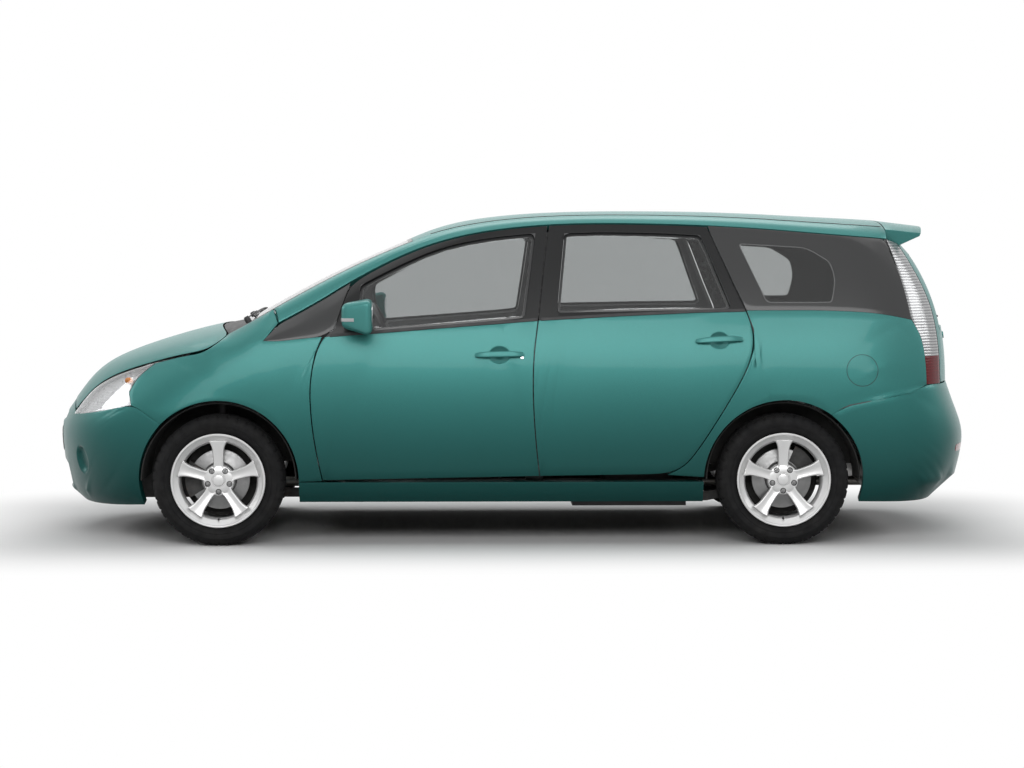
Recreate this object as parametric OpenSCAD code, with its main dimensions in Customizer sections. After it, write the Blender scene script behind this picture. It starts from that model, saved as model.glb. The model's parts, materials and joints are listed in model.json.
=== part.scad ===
// Five-door minivan with three rows of seats: body panels, doors, lids, running gear and cabin.
// Frame: +X forward, +Y to the vehicle's left, +Z up, ground at Z = 0, origin under the middle.

/* [Overall] */
// Distance between the front and rear axles
wheelbase = 2830; // [2500:5:3200]
// From the front axle to the tip of the front bumper
front_overhang = 905; // [800:5:1050]
// From the rear axle to the back of the rear bumper
rear_overhang = 1030; // [850:5:1200]
// Width of the body without the mirrors
width = 1795; // [1650:5:1950]
// Height of the roof above the ground
height = 1683; // [1500:1:1900]

/* [Wheels] */
// Outer radius of the tyre
tyre_radius = 328; // [300:1:350]
// Width of the tyre
tyre_width = 213; // [185:1:235]
// Radius of the rim's outer lip
rim_radius = 236; // [200:1:245]
// Gap between the tyre and the edge of the wheel arch
arch_gap = 74; // [60:1:90]
// How far the tyre's outer face stands inside the widest line of the body
tyre_inset = 16; // [5:1:40]
// Radius of the brake discs
disc_radius = 150; // [130:1:165]

/* [Panels] */
// Thickness of the lower part of a door
door_depth = 95; // [70:1:110]
// Thickness of the door frame around the window
frame_depth = 42; // [32:1:50]
// Thickness of the front wings and the bonnet
wing_depth = 24; // [15:1:30]
// Thickness of the quarter panels and the tailgate
quarter_depth = 40; // [25:1:50]
// Thickness of the bumper covers
bumper_depth = 32; // [20:1:40]
// Thickness of the roof
roof_depth = 30; // [20:1:40]
// Thickness of the glass
glass_depth = 5; // [4:0.5:8]
// Width of the gap round a door or lid
shut_gap = 5.6; // [5.2:0.1:8]

/* [Underbody] */
// Height of the underside of the floor
ground_clearance = 190; // [170:1:230]
// Radius of the exhaust pipe
pipe_radius = 25; // [20:1:35]
// Radius of the suspension struts
strut_radius = 26; // [20:1:32]

/* [Cabin] */
// Width of one seat
seat_width = 480; // [420:5:520]
// Radius of the steering wheel
steering_radius = 185; // [170:1:200]

/* [Hidden] */
$fn = 48;

paint = [0.24, 0.52, 0.49];
dark = [0.16, 0.16, 0.17];
trim = [0.45, 0.45, 0.44];
metal = [0.6, 0.61, 0.62];
glass = [0.55, 0.6, 0.6, 0.4];
tint = [0.25, 0.28, 0.29, 0.6];

length = wheelbase + front_overhang + rear_overhang;
front_axle = length / 2 - front_overhang;
rear_axle_x = front_axle - wheelbase;
wheel_y = width / 2 - tyre_inset - tyre_width / 2;
arch_radius = tyre_radius + arch_gap;
fixed_gap = 0.35;      // half of the hairline between two panels that stay together
running = 0.1;         // radial clearance of a shaft in its bore
seat_clear = 0.3;      // clearance of a piece from what it rests on
stop_clear = 0.7;      // clearance of the bonnet from the middle of its rubber stops
bevel = 18;            // how far a lid's or door's inner face is set in from its rim

// ---------------------------------------------------------------------------------------------
// The body's shape, drawn for a car 4765 long, 1795 wide and 1683 high with 402 wheel arches.
// place() then moves every point to the sizes above, so that arches stay round on their axles.
drawn_arch = 402;
drawn_hub = 328;
drawn_front = 1477.5;
drawn_rear = -1352.5;
X_FROM = [-2382.5, drawn_rear - drawn_arch, drawn_rear, drawn_rear + drawn_arch,
    drawn_front - drawn_arch, drawn_front, drawn_front + drawn_arch, 2382.5];
X_TO = [-length / 2, rear_axle_x - arch_radius, rear_axle_x, rear_axle_x + arch_radius,
    front_axle - arch_radius, front_axle, front_axle + arch_radius, length / 2];
Z_FROM = [0, drawn_hub, drawn_hub + drawn_arch, 1683];
Z_TO = [0, tyre_radius, tyre_radius + arch_radius, height];
function x_at(x) = lookup(x, [for (i = [0 : len(X_FROM) - 1]) [X_FROM[i], X_TO[i]]]);
function y_at(y) = y * width / 1795;
function z_at(z) = lookup(z, [for (i = [0 : len(Z_FROM) - 1]) [Z_FROM[i], Z_TO[i]]]);
function place(p) = [x_at(p[0]), y_at(p[1]), z_at(p[2])];

// Half width of the body by height, and the centre-line profiles of its two ends.
BARREL = [[150, 775], [180, 790], [250, 838], [330, 866], [450, 886], [640, 897.5], [800, 892],
    [950, 874], [1060, 848], [1180, 809], [1300, 767], [1450, 710], [1610, 648], [1700, 610]];
NOSE = [[150, 2240], [180, 2275], [220, 2325], [290, 2356], [400, 2370], [520, 2382.5],
    [590, 2372], [640, 2345], [700, 2303], [760, 2262], [820, 2215], [860, 2172], [912, 2073],
    [957, 1960], [995, 1847], [1029, 1734], [1063, 1621], [1085, 1545], [1110, 1400],
    [1177, 1274], [1299, 1051], [1421, 805], [1537, 536], [1600, 380], [1700, 200]];
NOSE_START = [[150, 1500], [640, 1500], [900, 1000], [1010, 900], [1110, 750], [1212, 480],
    [1300, 300], [1400, 150], [1500, 50], [1565, -150], [1640, -300]];
NOSE_POWER = [[150, 2.8], [640, 3], [900, 3.8], [1110, 5.5], [1212, 6.5], [1400, 7], [1700, 7]];
STERN = [[150, -2130], [180, -2170], [240, -2270], [300, -2330], [386, -2370], [480, -2380],
    [560, -2382.5], [610, -2374], [660, -2342], [740, -2302], [800, -2287], [922, -2283],
    [1044, -2271], [1142, -2251], [1252, -2213], [1349, -2166], [1447, -2104], [1514, -2042],
    [1600, -1950], [1700, -1850]];
STERN_START = -1500;
STERN_POWER = 6;

// The shoulder that runs from the headlamp up the windscreen pillar and along the roof's edge.
SHOULDER = [[-2126, 1505], [-1905, 1532], [-1661, 1550], [-1450, 1568], [-1234, 1585],
    [-999, 1599], [-734, 1608], [-433, 1612], [-184, 1605], [-19, 1592], [181, 1565],
    [331, 1532], [481, 1483], [681, 1390], [831, 1306], [982, 1212], [1176, 1107],
    [1300, 1048], [1407, 1007], [1539, 966], [1646, 948], [1805, 908], [1967, 858],
    [2074, 812], [2159, 754], [2207, 701], [2250, 640]];
CREST = [[-2126, 1600], [-1905, 1636], [-1519, 1656], [-1214, 1672], [-896, 1681], [-578, 1683],
    [-263, 1678], [-33, 1666], [178, 1643], [284, 1624], [390, 1597], [504, 1553], [536, 1538],
    [805, 1422], [1051, 1300], [1274, 1178], [1386, 1118], [1450, 1100], [1516, 1092],
    [1621, 1070], [1734, 1040], [1847, 1006], [1960, 968], [2073, 922], [2172, 866],
    [2215, 825], [2262, 763], [2303, 702], [2312, 688]];
// How far the middle of each cross-section runs ahead of its sides, and how it is crowned.
LEAD = [[-2126, -40], [-1905, 0], [300, 0], [504, 30], [1000, 20], [1300, 40], [1407, 110],
    [1700, 90], [2250, 53]];
CROWN = [[-2126, 0.4], [300, 0.35], [600, 0.08], [1300, 0.08], [1420, 0.35], [2250, 0.5]];
CORNER = [[-2126, 6], [300, 7], [600, 13], [1300, 13], [1420, 6], [2250, 4]];
// Where the windscreen, roof panel and bonnet end across each cross-section, 1 at the shoulder.
TOP_EDGE = [[-1905, 0.88], [300, 0.88], [520, 0.9], [1176, 0.9], [1330, 0.87], [1407, 0.87],
    [1444, 0.93], [1508, 0.985], [1560, 1], [2250, 1]];
over_scale = 500;      // millimetres of travel up the side that cross the whole roof

function knot(t, x, lo, hi) = hi - lo < 2 ? lo
    : let (m = floor((lo + hi) / 2)) t[m][0] <= x ? knot(t, x, m, hi) : knot(t, x, lo, m);
function slope(t, i) = (t[i + 1][1] - t[i][1]) / (t[i + 1][0] - t[i][0]);
function tangent(t, i) = i == 0 ? slope(t, 0) : i == len(t) - 1 ? slope(t, i - 1)
    : let (a = slope(t, i - 1), b = slope(t, i)) a * b <= 0 ? 0 : 2 * a * b / (a + b);
// Smooth curve through the points of t, which never swings past them.
function curve(t, x) = let (i = knot(t, x, 0, len(t) - 1), h = t[i + 1][0] - t[i][0],
    s = min(1, max(0, (x - t[i][0]) / h)), r = 1 - s)
    r * r * (1 + 2 * s) * t[i][1] + s * s * (3 - 2 * s) * t[i + 1][1]
    + s * r * h * (r * tangent(t, i) - s * tangent(t, i + 1));

function ahead(x, z) = let (a = curve(NOSE_START, z))
    min(1, max(0, (x - a) / (curve(NOSE, z) - a)));
function behind(x, z) = min(1, max(0, (x - STERN_START) / (curve(STERN, z) - STERN_START)));
// Half width of the body at length x and height z.
function half_width(x, z) = curve(BARREL, z) * sqrt(1 - pow(ahead(x, z), curve(NOSE_POWER, z)))
    * sqrt(1 - pow(behind(x, z), STERN_POWER));
function drop(x, u) = let (a = curve(CROWN, x))
    a * u * u + (1 - a) * (1 - sqrt(max(0, 1 - pow(u, curve(CORNER, x)))));
// Point on the roof, windscreen or bonnet: u is 0 in the middle and 1 at the left shoulder.
function top_point(x, u) = let (z = curve(SHOULDER, x), m = x + curve(LEAD, x), v = abs(u))
    [x + curve(LEAD, x) * (1 - v * v), u * half_width(x, z),
    z + (curve(CREST, m) - z) * (1 - drop(x, v))];
function over(x, u) = [x, curve(SHOULDER, x) + (1 - u) * over_scale];
// The left side: p is length and height, and above the shoulder the height runs on over the roof.
side_skin = function (p) let (z = curve(SHOULDER, p[0]))
    place(p[1] <= z ? [p[0], half_width(p[0], p[1]), p[1]]
    : top_point(p[0], 1 - (p[1] - z) / over_scale));
top_skin = function (p) place(top_point(p[0], p[1]));
// The two ends: p is the turn from the middle (0) to the side (1 or -1), and height.
function end_point(q, z, start, tip, power) = let (t = 1 - q * q)
    place([start + (tip - start) * t, sign(q) * curve(BARREL, z) * sqrt(1 - pow(max(0, t), power)), z]);
nose_skin = function (p)
    end_point(p[0], p[1], curve(NOSE_START, p[1]), curve(NOSE, p[1]), curve(NOSE_POWER, p[1]));
stern_skin = function (p) end_point(p[0], p[1], STERN_START, curve(STERN, p[1]), STERN_POWER);
// Turn of the point of the nose or stern that lies at length x, or at half width y, and height z.
function nose_turn(x, z) = let (a = curve(NOSE_START, z)) sqrt(1 - (x - a) / (curve(NOSE, z) - a));
function nose_turn_y(y, z) = sqrt(1 - pow(1 - pow(y / curve(BARREL, z), 2), 1 / curve(NOSE_POWER, z)));
function stern_turn(x, z) = sqrt(1 - (x - STERN_START) / (curve(STERN, z) - STERN_START));

// ---------------------------------------------------------------------------------------------
// Thick curved sheets. A patch is a grid of points [u, v] on one of the skins above.
function unit(v) = v / norm(v);
function flat(l) = [for (a = l) each a];
function mix(a, b, s) = a * (1 - s) + b * s;
function between(a, b, rows) = [for (i = [0 : rows]) [for (j = [0 : len(a) - 1])
    mix(a[j], b[j], i / rows)]];
function closed(loop) = concat(loop, [loop[0]]);
// Moves a closed loop's corners inward by d; the loop runs anticlockwise.
function inset(loop, d) = let (n = len(loop)) [for (i = [0 : n - 1])
    let (e = unit(loop[i] - loop[(i + n - 1) % n]), g = unit(loop[(i + 1) % n] - loop[i]),
    m = unit([-e[1] - g[1], e[0] + g[0]]), k = max(0.5, m * [-e[1], e[0]])) loop[i] + m * (d / k)];
function arc(cx, from, to, steps) = [for (i = [0 : steps]) let (a = from + (to - from) * i / steps)
    [cx + drawn_arch * cos(a), drawn_hub + drawn_arch * sin(a)]];

// Outward direction of a skin at p, taken over the span du, dv so that it turns gently at corners.
function outward(skin, p, du, dv) =
    let (n = unit(cross(skin(p + [du, 0]) - skin(p - [du, 0]), skin(p + [0, dv]) - skin(p - [0, dv]))),
    out = skin(p) - [0, 0, height / 2]) n * out < 0 ? -n : n;
function turn_of(g) = let (t = [for (i = [0 : len(g) - 2], j = [0 : len(g[0]) - 2])
    cross(g[i + 1][j] - g[i][j], g[i][j + 1] - g[i][j])
    + cross(g[i + 1][j + 1] - g[i][j + 1], g[i + 1][j + 1] - g[i + 1][j])]) t * [for (i = t) 1];

// Closed shell between a skin and its inner face. outer and inner are matching lists of patches,
// skip and depth are functions of a point: how far below the skin the shell starts and ends.
module sheet(skin, outer, inner, skip, depth, du = 20, dv = 20) {
    points_out = flat(flat(outer));
    points_in = flat(flat(inner));
    keys = [for (p = points_out) round(p[0] * 1e4) * 1e7 + round(p[1] * 1e3)];
    first = [for (k = keys) search(k, keys)[0]];
    starts = [for (i = 0, s = 0; i < len(outer); s = s + len(outer[i]) * len(outer[i][0]), i = i + 1) s];
    triangles = [for (k = [0 : len(outer) - 1]) let (g = outer[k], c = len(g[0]), left = turn_of(g) > 0)
        for (i = [0 : len(g) - 2], j = [0 : c - 2]) let (a = starts[k] + i * c + j)
        for (t = [[a, a + c, a + c + 1], [a, a + c + 1, a + 1]])
        let (f = [first[t[0]], first[left ? t[1] : t[2]], first[left ? t[2] : t[1]]])
        if (f[0] != f[1] && f[1] != f[2] && f[2] != f[0]) f];
    n = len(points_out);
    edges = [for (t = triangles, e = [[t[0], t[1]], [t[1], t[2]], [t[2], t[0]]]) e];
    codes = [for (e = edges) e[0] * n + e[1]];
    rim = [for (e = edges) if (len(search(e[1] * n + e[0], codes)) == 0) e];
    normals = [for (p = points_out) outward(skin, p, du, dv)];
    at = [for (p = points_out) skin(p)];
    turns = [for (t = triangles) cross(at[t[1]] - at[t[0]], at[t[2]] - at[t[0]]) * normals[t[0]]];
    facing = turns * [for (t = turns) 1];
    sides = [for (t = triangles) t, for (t = triangles) [t[2] + n, t[1] + n, t[0] + n],
        for (e = rim) each [[e[1], e[0], e[0] + n], [e[1], e[0] + n, e[1] + n]]];
    polyhedron(points = concat(
        [for (i = [0 : n - 1]) at[i] - normals[i] * skip(points_out[i])],
        [for (i = [0 : n - 1]) let (p = points_in[i])
            skin(p) - outward(skin, p, du, dv) * depth(points_out[i])]),
        faces = facing > 0 ? [for (f = sides) [f[2], f[1], f[0]]] : sides, convexity = 8);
}
function constant(d) = function (p) d;
module panel(skin, patches, depth, skip = 0, du = 20, dv = 20)
    sheet(skin, patches, patches, constant(skip), constant(depth), du, dv);
module both_sides() {
    children();
    mirror([0, 1, 0]) children();
}

// ---------------------------------------------------------------------------------------------
// Seams of the left side, each a line down the middle of its gap.
function belt(x) = curve([[-2000, 1128], [-1906, 1150], [-1753, 1168], [-1517, 1176],
    [-1165, 1175], [-918, 1170], [-523, 1152], [-124, 1130], [280, 1100], [705, 1067],
    [961, 1048], [1246, 1018]], x);
function rail(x) = [x, curve(SHOULDER, x)];
// The doors' edges.
DOOR_FRONT_EDGE = [[959, 325], [988, 453], [1009, 599], [1020, 735], [1020, 800], [1008, 900],
    [985, 990], [958, 1046]];
DOOR_SAIL_EDGE = [[958, 1046], [905, 1066], [868, 1180], [821, 1312]];
DOOR_MIDDLE_EDGE = [[-178, 1604], [-158, 1430], [-140, 1270], [-126, 1131], [-104, 992],
    [-97, 880], [-97, 740], [-104, 610], [-119, 435], [-131, 345]];
DOOR_QUARTER_EDGE = [[-984, 1599], [-1025, 1500], [-1062, 1415], [-1110, 1300], [-1151, 1210],
    [-1168, 1175]];
DOOR_ARCH_EDGE = [[-1168, 1175], [-1183, 1140], [-1202, 1080], [-1207, 1021], [-1190, 930],
    [-1131, 816], [-1062, 698], [-964, 542], [-890, 432], [-846, 381], [-770, 354]];
BELT_EDGE = [[-1168, 1175], [-1517, 1176], [-1753, 1168], [-1906, 1150], [-2001, 1127]];
SAIL_BOTTOM = [[958, 1046], [1100, 1033], [1228, 1016], [1250, 1026]];
// Lamps and bumpers.
function lip(cx, angle) = [cx + drawn_arch * cos(angle), drawn_hub + drawn_arch * sin(angle)];
front_seam_angle = 45;
rear_seam_angle = 125.4;
LAMP_REAR_EDGE = [[1805, 908], [1882, 849], [1925, 797], [1933, 744], [1915, 703]];
LAMP_BOTTOM = [[1915, 703], [2000, 685], [2100, 665], [2200, 645], [2250, 640]];
BUMPER_SEAM = [[1915, 703], [1870, 690], [1838, 662], lip(drawn_front, front_seam_angle)];
TAIL_QUARTER_EDGE = [[-1905, 1532], [-1962, 1330], [-1990, 1200], [-2001, 1127]];
TAIL_FRONT_EDGE = [[-2001, 1127], [-2043, 1073], [-2061, 1002], [-2073, 920], [-2076, 803]];
TAIL_REAR_EDGE = [[-1975, 1512], [-2085, 1310], [-2125, 1210], [-2145, 1120], [-2152, 1060],
    [-2158, 1000], [-2163, 920], [-2165, 803]];
REAR_BUMPER_SEAM = [[-2076, 803], [-2035, 772], [-1925, 750], [-1749, 721], [-1660, 703],
    lip(drawn_rear, rear_seam_angle)];
bumper_top = 803;      // underside of the tailgate and tail lamps
sill_top = 318;
sill_bottom = 215;

// Points evenly spread along a path, n pieces long.
function run(path) = [for (i = 0, s = 0; i < len(path);
    s = s + (i < len(path) - 1 ? norm(path[i + 1] - path[i]) : 0), i = i + 1) s];
function spread(path, n) = let (r = run(path), full = r[len(r) - 1]) [for (k = [0 : n])
    let (s = full * k / n, i = min(len(path) - 2, knot([for (v = r) [v]], s, 0, len(path) - 1)))
    mix(path[i], path[i + 1], (s - r[i]) / (r[i + 1] - r[i]))];
function but_last(path) = [for (i = [0 : len(path) - 2]) path[i]];
function backward(path) = [for (i = [len(path) - 1 : -1 : 0]) path[i]];
function join(paths) = [for (p = paths) each but_last(p)];
function chain(paths) = concat(join(paths), [paths[len(paths) - 1][len(paths[len(paths) - 1]) - 1]]);
function rail_path(from, to, n) = [for (i = [0 : n]) rail(from + (to - from) * i / n)];
function shift(path, dx) = [for (p = path) p + [dx, 0]];

// The line where the pillar and roof rail meet the windscreen and roof, and the one below it.
WINDSCREEN_X = [1330, 1205, 1105, 1005, 905, 805, 705, 604, 504];
ROOF_X = concat([for (i = [0 : 8]) 504 - 682 * i / 8], [for (i = [1 : 7]) -178 - 806 * i / 7],
    [for (i = [1 : 6]) -984 - 921 * i / 6]);
RAIL_LINE = chain([rail_path(1180, 821, 7), rail_path(821, -178, 8), rail_path(-178, -984, 7),
    rail_path(-984, -1905, 6)]);
ROOF_LINE = [for (x = concat([for (i = [1 : 7]) WINDSCREEN_X[i]], ROOF_X)) over(x, curve(TOP_EDGE, x))];

FRONT_DOOR = join([spread([[-131, 345], [959, 325]], 6), spread(DOOR_FRONT_EDGE, 8),
    spread(DOOR_SAIL_EDGE, 4), rail_path(821, -178, 8), spread(DOOR_MIDDLE_EDGE, 10)]);
FRONT_WINDOW = join([spread([[60, 1127], [400, 1100], [640, 1082]], 6),
    spread([[640, 1082], [700, 1077], [735, 1088], [750, 1110]], 8),
    spread([[750, 1110], [765, 1170], [775, 1240], [768, 1302]], 4),
    spread([[768, 1302], [676, 1352], [479, 1447], [330, 1500], [181, 1532], [-19, 1556],
    [-112, 1562]], 8),
    spread([[-112, 1562], [-95, 1430], [-75, 1285], [-56, 1155]], 4),
    spread([[-56, 1155], [-40, 1138], [60, 1127]], 6)]);
REAR_DOOR = join([spread([[-770, 354], [-131 + shut_gap, 345]], 5),
    backward(shift(spread(DOOR_MIDDLE_EDGE, 10), shut_gap - 2 * fixed_gap)),
    rail_path(-178, -984, 7), spread(DOOR_QUARTER_EDGE, 6), spread(DOOR_ARCH_EDGE, 10)]);
REAR_WINDOW = join([spread([[-800, 1176], [-330, 1167]], 5),
    spread([[-330, 1167], [-232, 1163], [-217, 1178]], 6), spread([[-217, 1178], [-258, 1562]], 4),
    spread([[-258, 1562], [-433, 1569], [-734, 1564], [-944, 1552]], 7),
    spread([[-944, 1552], [-985, 1460], [-1022, 1360], [-1060, 1265], [-1086, 1195]], 6),
    spread([[-1086, 1195], [-1070, 1178], [-800, 1176]], 10)]);
door_inset = shut_gap - fixed_gap;

// A door: a ring round its window, thick below the belt and thin in the window frame.
function door_thickness(p) = mix(door_depth, frame_depth,
    min(1, max(0, (p[1] - belt(p[0]) + 75) / 60)));
module door_shell(seam, window) {
    hole = closed(window);
    color(paint) sheet(side_skin, [between(closed(inset(seam, door_inset)), hole, 4)],
        [between(closed(inset(seam, door_inset + bevel)), hole, 4)],
        constant(0), function (p) door_thickness(p), 20, 40);
}
// Glass that fills a closed loop, folded at corner k so that its two halves face each other.
function folded(loop, k, rows) = let (n = len(loop), half = n / 2)
    [between([for (i = [0 : half]) loop[(k + i) % n]],
    [for (i = [0 : half]) loop[(k - i + n) % n]], rows)];
module door_glass(window, k, c) color(c)
    panel(side_skin, folded(inset(window, 1.3), k, 5), 14 + glass_depth, 14, 20, 40);

// Front wings: from the door and sill, round the arch, up to the windscreen and the headlamp.
module front_wing() {
    low = spread([[1250, 1026], [1350, 1005], [1450, 985], rail(1560)], 7);
    high = [[1250, 1026], rail(1180), over(1205, curve(TOP_EDGE, 1205)), over(1330, curve(TOP_EDGE, 1330)),
        over(1407, curve(TOP_EDGE, 1407)), over(1444, curve(TOP_EDGE, 1444)),
        over(1508, curve(TOP_EDGE, 1508)), rail(1560)];
    edge = chain([spread(DOOR_FRONT_EDGE, 8), spread(SAIL_BOTTOM, 4), low, rail_path(1560, 1805, 3),
        spread(LAMP_REAR_EDGE, 4), spread(BUMPER_SEAM, 3)]);
    angles = [[181, 128, 8], [128, 112, 4], [112, 95, 7], [95, 78, 3], [78, 60, 4],
        [60, front_seam_angle, 3]];
    arch = chain([for (a = angles) arc(drawn_front, a[0], a[1], a[2])]);
    panel(side_skin, wing_patches(edge, low, high, arch), wing_depth, 0, 20, 40);
}
// The wing's two patches, with every seam drawn a hair inside its line.
function wing_patches(edge, low, high, arch) = let (n = len(edge),
    loop = concat([for (i = [0 : 12]) edge[i]], [for (i = [1 : 6]) high[i]],
    [for (i = [19 : n - 2]) edge[i]], backward(arch)),
    in = backward(inset(backward(loop), fixed_gap)),
    top = concat([for (i = [0 : 12]) in[i]], [for (i = [1 : 6]) low[i]],
    [for (i = [19 : n - 1]) in[i]]))
    [between([for (i = [0 : n - 1]) in[len(in) - 1 - i]], top, 3),
    between(concat([in[12]], [for (i = [1 : 6]) low[i]], [in[19]]),
    [for (i = [12 : 19]) in[i]], 2)];
module front_fenders() color(paint) both_sides() front_wing();

// Strip between a path and a wheel arch, the quarter panel's shape.
function seam_strip(edge, arch, rows) = let (n = len(edge),
    loop = concat(but_last(edge), backward(arch)),
    in = backward(inset(backward(loop), fixed_gap)))
    [between([for (i = [0 : n - 1]) in[len(in) - 1 - i]], [for (i = [0 : n - 1]) in[i]], rows)];
module body_sides() color(paint) both_sides() {
    // Quarter panel over the rear wheel, drawn facing forward and turned round.
    edge = chain([backward(spread(DOOR_ARCH_EDGE, 10)), spread(BELT_EDGE, 7),
        spread(TAIL_FRONT_EDGE, 4), spread(REAR_BUMPER_SEAM, 5)]);
    angles = [[2, 32, 4], [32, 62, 3], [62, 88, 3], [88, 108, 7], [108, 117, 4], [117, rear_seam_angle, 5]];
    arch = chain([for (a = angles) arc(drawn_rear, a[0], a[1], a[2])]);
    flipped = seam_strip([for (p = edge) [-p[0], p[1]]], [for (p = arch) [-p[0], p[1]]], 3);
    panel(side_skin, [for (g = flipped) [for (r = g) [for (p = r) [-p[0], p[1]]]]], quarter_depth, 0,
        20, 40);
    // Windscreen pillar and roof rail.
    n = len(RAIL_LINE);
    rim = concat(replace_ends(RAIL_LINE, rail(1175), RAIL_LINE[n - 1]),
        backward(replace_ends(ROOF_LINE, over(1200, curve(TOP_EDGE, 1200)), ROOF_LINE[n - 1])));
    loop = backward(inset(backward(rim), fixed_gap));
    panel(side_skin, [between([for (i = [0 : n - 1]) loop[i]],
        [for (i = [0 : n - 1]) loop[2 * n - 1 - i]], 4)], frame_depth, 0, 20, 40);
    // Sill under the doors.
    along_sill() polygon(concat([for (z = [sill_bottom, 250, 290, sill_top])
        [y_at(curve(BARREL, z)), z_at(z)]],
        [[inner_sill + fixed_gap, z_at(sill_top)], [inner_sill + fixed_gap, z_at(sill_bottom)]]));
}
// Extrudes an outline of half width and height along the sill, from arch to arch.
sill_from = x_at(drawn_rear + drawn_arch);
sill_to = x_at(drawn_front - drawn_arch);
inner_sill = y_at(760);
module along_sill() translate([sill_from, 0, 0]) rotate([90, 0, 90]) linear_extrude(sill_to - sill_from)
    children();

// Rows of a sheet across the roof, windscreen or bonnet; trim narrows each side.
function across(xs, columns, trim) = [for (x = xs)
    let (a = side_skin(rail(x + 4)) - side_skin(rail(x - 4)),
    e = curve(TOP_EDGE, x) - trim * norm(a) / a[0] / half_width(x, curve(SHOULDER, x)))
    [for (j = [0 : columns]) [x, e * (2 * j / columns - 1)]]];
function replace_ends(list, a, b) = [for (i = [0 : len(list) - 1])
    i == 0 ? a : i == len(list) - 1 ? b : list[i]];
module roof_panel() color(paint) {
    xs = replace_ends(ROOF_X, ROOF_X[0] - fixed_gap, ROOF_X[len(ROOF_X) - 1] + fixed_gap);
    sheet(top_skin, [across(xs, 12, fixed_gap)], [across(xs, 12, fixed_gap + bevel)],
        constant(0), constant(roof_depth), 20, 0.04);
}
module windscreen() color(glass) {
    xs = replace_ends(WINDSCREEN_X, WINDSCREEN_X[0] - fixed_gap, WINDSCREEN_X[8] + fixed_gap);
    panel(top_skin, [across(xs, 10, 0.6)], glass_depth, 0, 20, 0.04);
}
cowl_from = WINDSCREEN_X[0];
bonnet_rear = 1407;
module cowl_panel() color(dark)
    panel(top_skin, [across([cowl_from + fixed_gap, bonnet_rear - fixed_gap], 10, 0.6)], 26, 4, 20, 0.04);
bonnet_front = 2250;
BONNET_X = [1407 + shut_gap, 1444, 1508, 1560, 1641, 1723, 1805, 1894, 1983, 2072, 2161, bonnet_front - 9];
// Rubber stop of radius r under the bonnet, over the rail; rail_top is where its stem starts.
module bonnet_stop(r, rail_top) {
    p = [BONNET_X[9], across(BONNET_X, 14, door_inset + 1)[9][11][1]];
    at = top_skin(p) - outward(top_skin, p, 20, 0.04) * (wing_depth + stop_clear + r);
    translate(at) sphere(r = r);
    translate([at[0], at[1], rail_top - 5]) cylinder(r = r - 2, h = at[2] - rail_top + 5);
    translate([at[0] - 20, at[1] - r, rail_top - 5]) cube([40, rail_y - 30 - at[1] + r, 20]);
}
module bonnet() color(paint) {
    inner = replace_ends(BONNET_X, BONNET_X[0] + bevel, BONNET_X[11] - bevel);
    sheet(top_skin, [across(BONNET_X, 14, door_inset + 1)], [across(inner, 14, door_inset + 1 + bevel)],
        constant(0), constant(wing_depth), 20, 0.04);
}

// Fixed side windows: the sail in front of the door, and the long quarter window behind it.
module side_glass() both_sides() {
    sail = inset(concat(spread(SAIL_BOTTOM, 4), rail_path(1180, 821, 7),
        [for (i = [3 : -1 : 1]) spread(DOOR_SAIL_EDGE, 4)[i]]), fixed_gap);
    color(glass) panel(side_skin, folded(rotated_by(sail, 4), 0, 2), glass_depth, 0, 20, 40);
    quarter = inset(concat(backward(spread(BELT_EDGE, 7)),
        [for (i = [5 : -1 : 1]) spread(DOOR_QUARTER_EDGE, 6)[i]], rail_path(-984, -1905, 6),
        [for (i = [1 : 6]) spread(TAIL_QUARTER_EDGE, 7)[i]]), 0.85);
    color(tint) panel(side_skin, folded(quarter, 10, 4), glass_depth, 0, 20, 40);
}
function rotated_by(loop, k) = [for (i = [0 : len(loop) - 1]) loop[(i + k) % len(loop)]];

// Lamps.
module headlamps() color([0.85, 0.87, 0.88]) both_sides() {
    edge = chain([spread(LAMP_REAR_EDGE, 4), spread(LAMP_BOTTOM, 5)]);
    top = rail_path(1805, 2250, 9);
    loop = inset(concat(edge, backward([for (i = [1 : 8]) top[i]])), fixed_gap);
    panel(side_skin, folded(loop, 0, 3), wing_depth, 0, 20, 40);
}
module tail_lamps() color([0.55, 0.08, 0.1]) both_sides() {
    front = chain([spread(TAIL_QUARTER_EDGE, 7), spread(TAIL_FRONT_EDGE, 4)]);
    rear = spread(TAIL_REAR_EDGE, 11);
    patch = function (d) let (loop = inset(concat(backward(front), rear), d))
        [between([for (i = [0 : 11]) loop[11 - i]], [for (i = [0 : 11]) loop[12 + i]], 2)];
    sheet(side_skin, patch(fixed_gap), patch(3), constant(0), constant(quarter_depth - 5), 20, 40);
}

// Bumpers: paths from the middle of the car to the wheel arch, top and bottom.
bumper_bottom = 178;
rear_bottom = 206;
function nose_pair(p) = [nose_turn(p[0], p[1]), p[1]];
function stern_pair(p) = [stern_turn(p[0], p[1]), p[1]];
function nose_front(u) = let (z = top_point(bonnet_front, u)[2])
    [nose_turn_y(u * half_width(bonnet_front, curve(SHOULDER, bonnet_front)), z), z];
BUMPER_LEVELS = [0, 0.12, 0.42, 0.653, 0.78, 0.9, 1];
function levels(a, b, f) = [for (s = f) [for (j = [0 : len(a) - 1]) mix(a[j], b[j], s)]];
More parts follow.
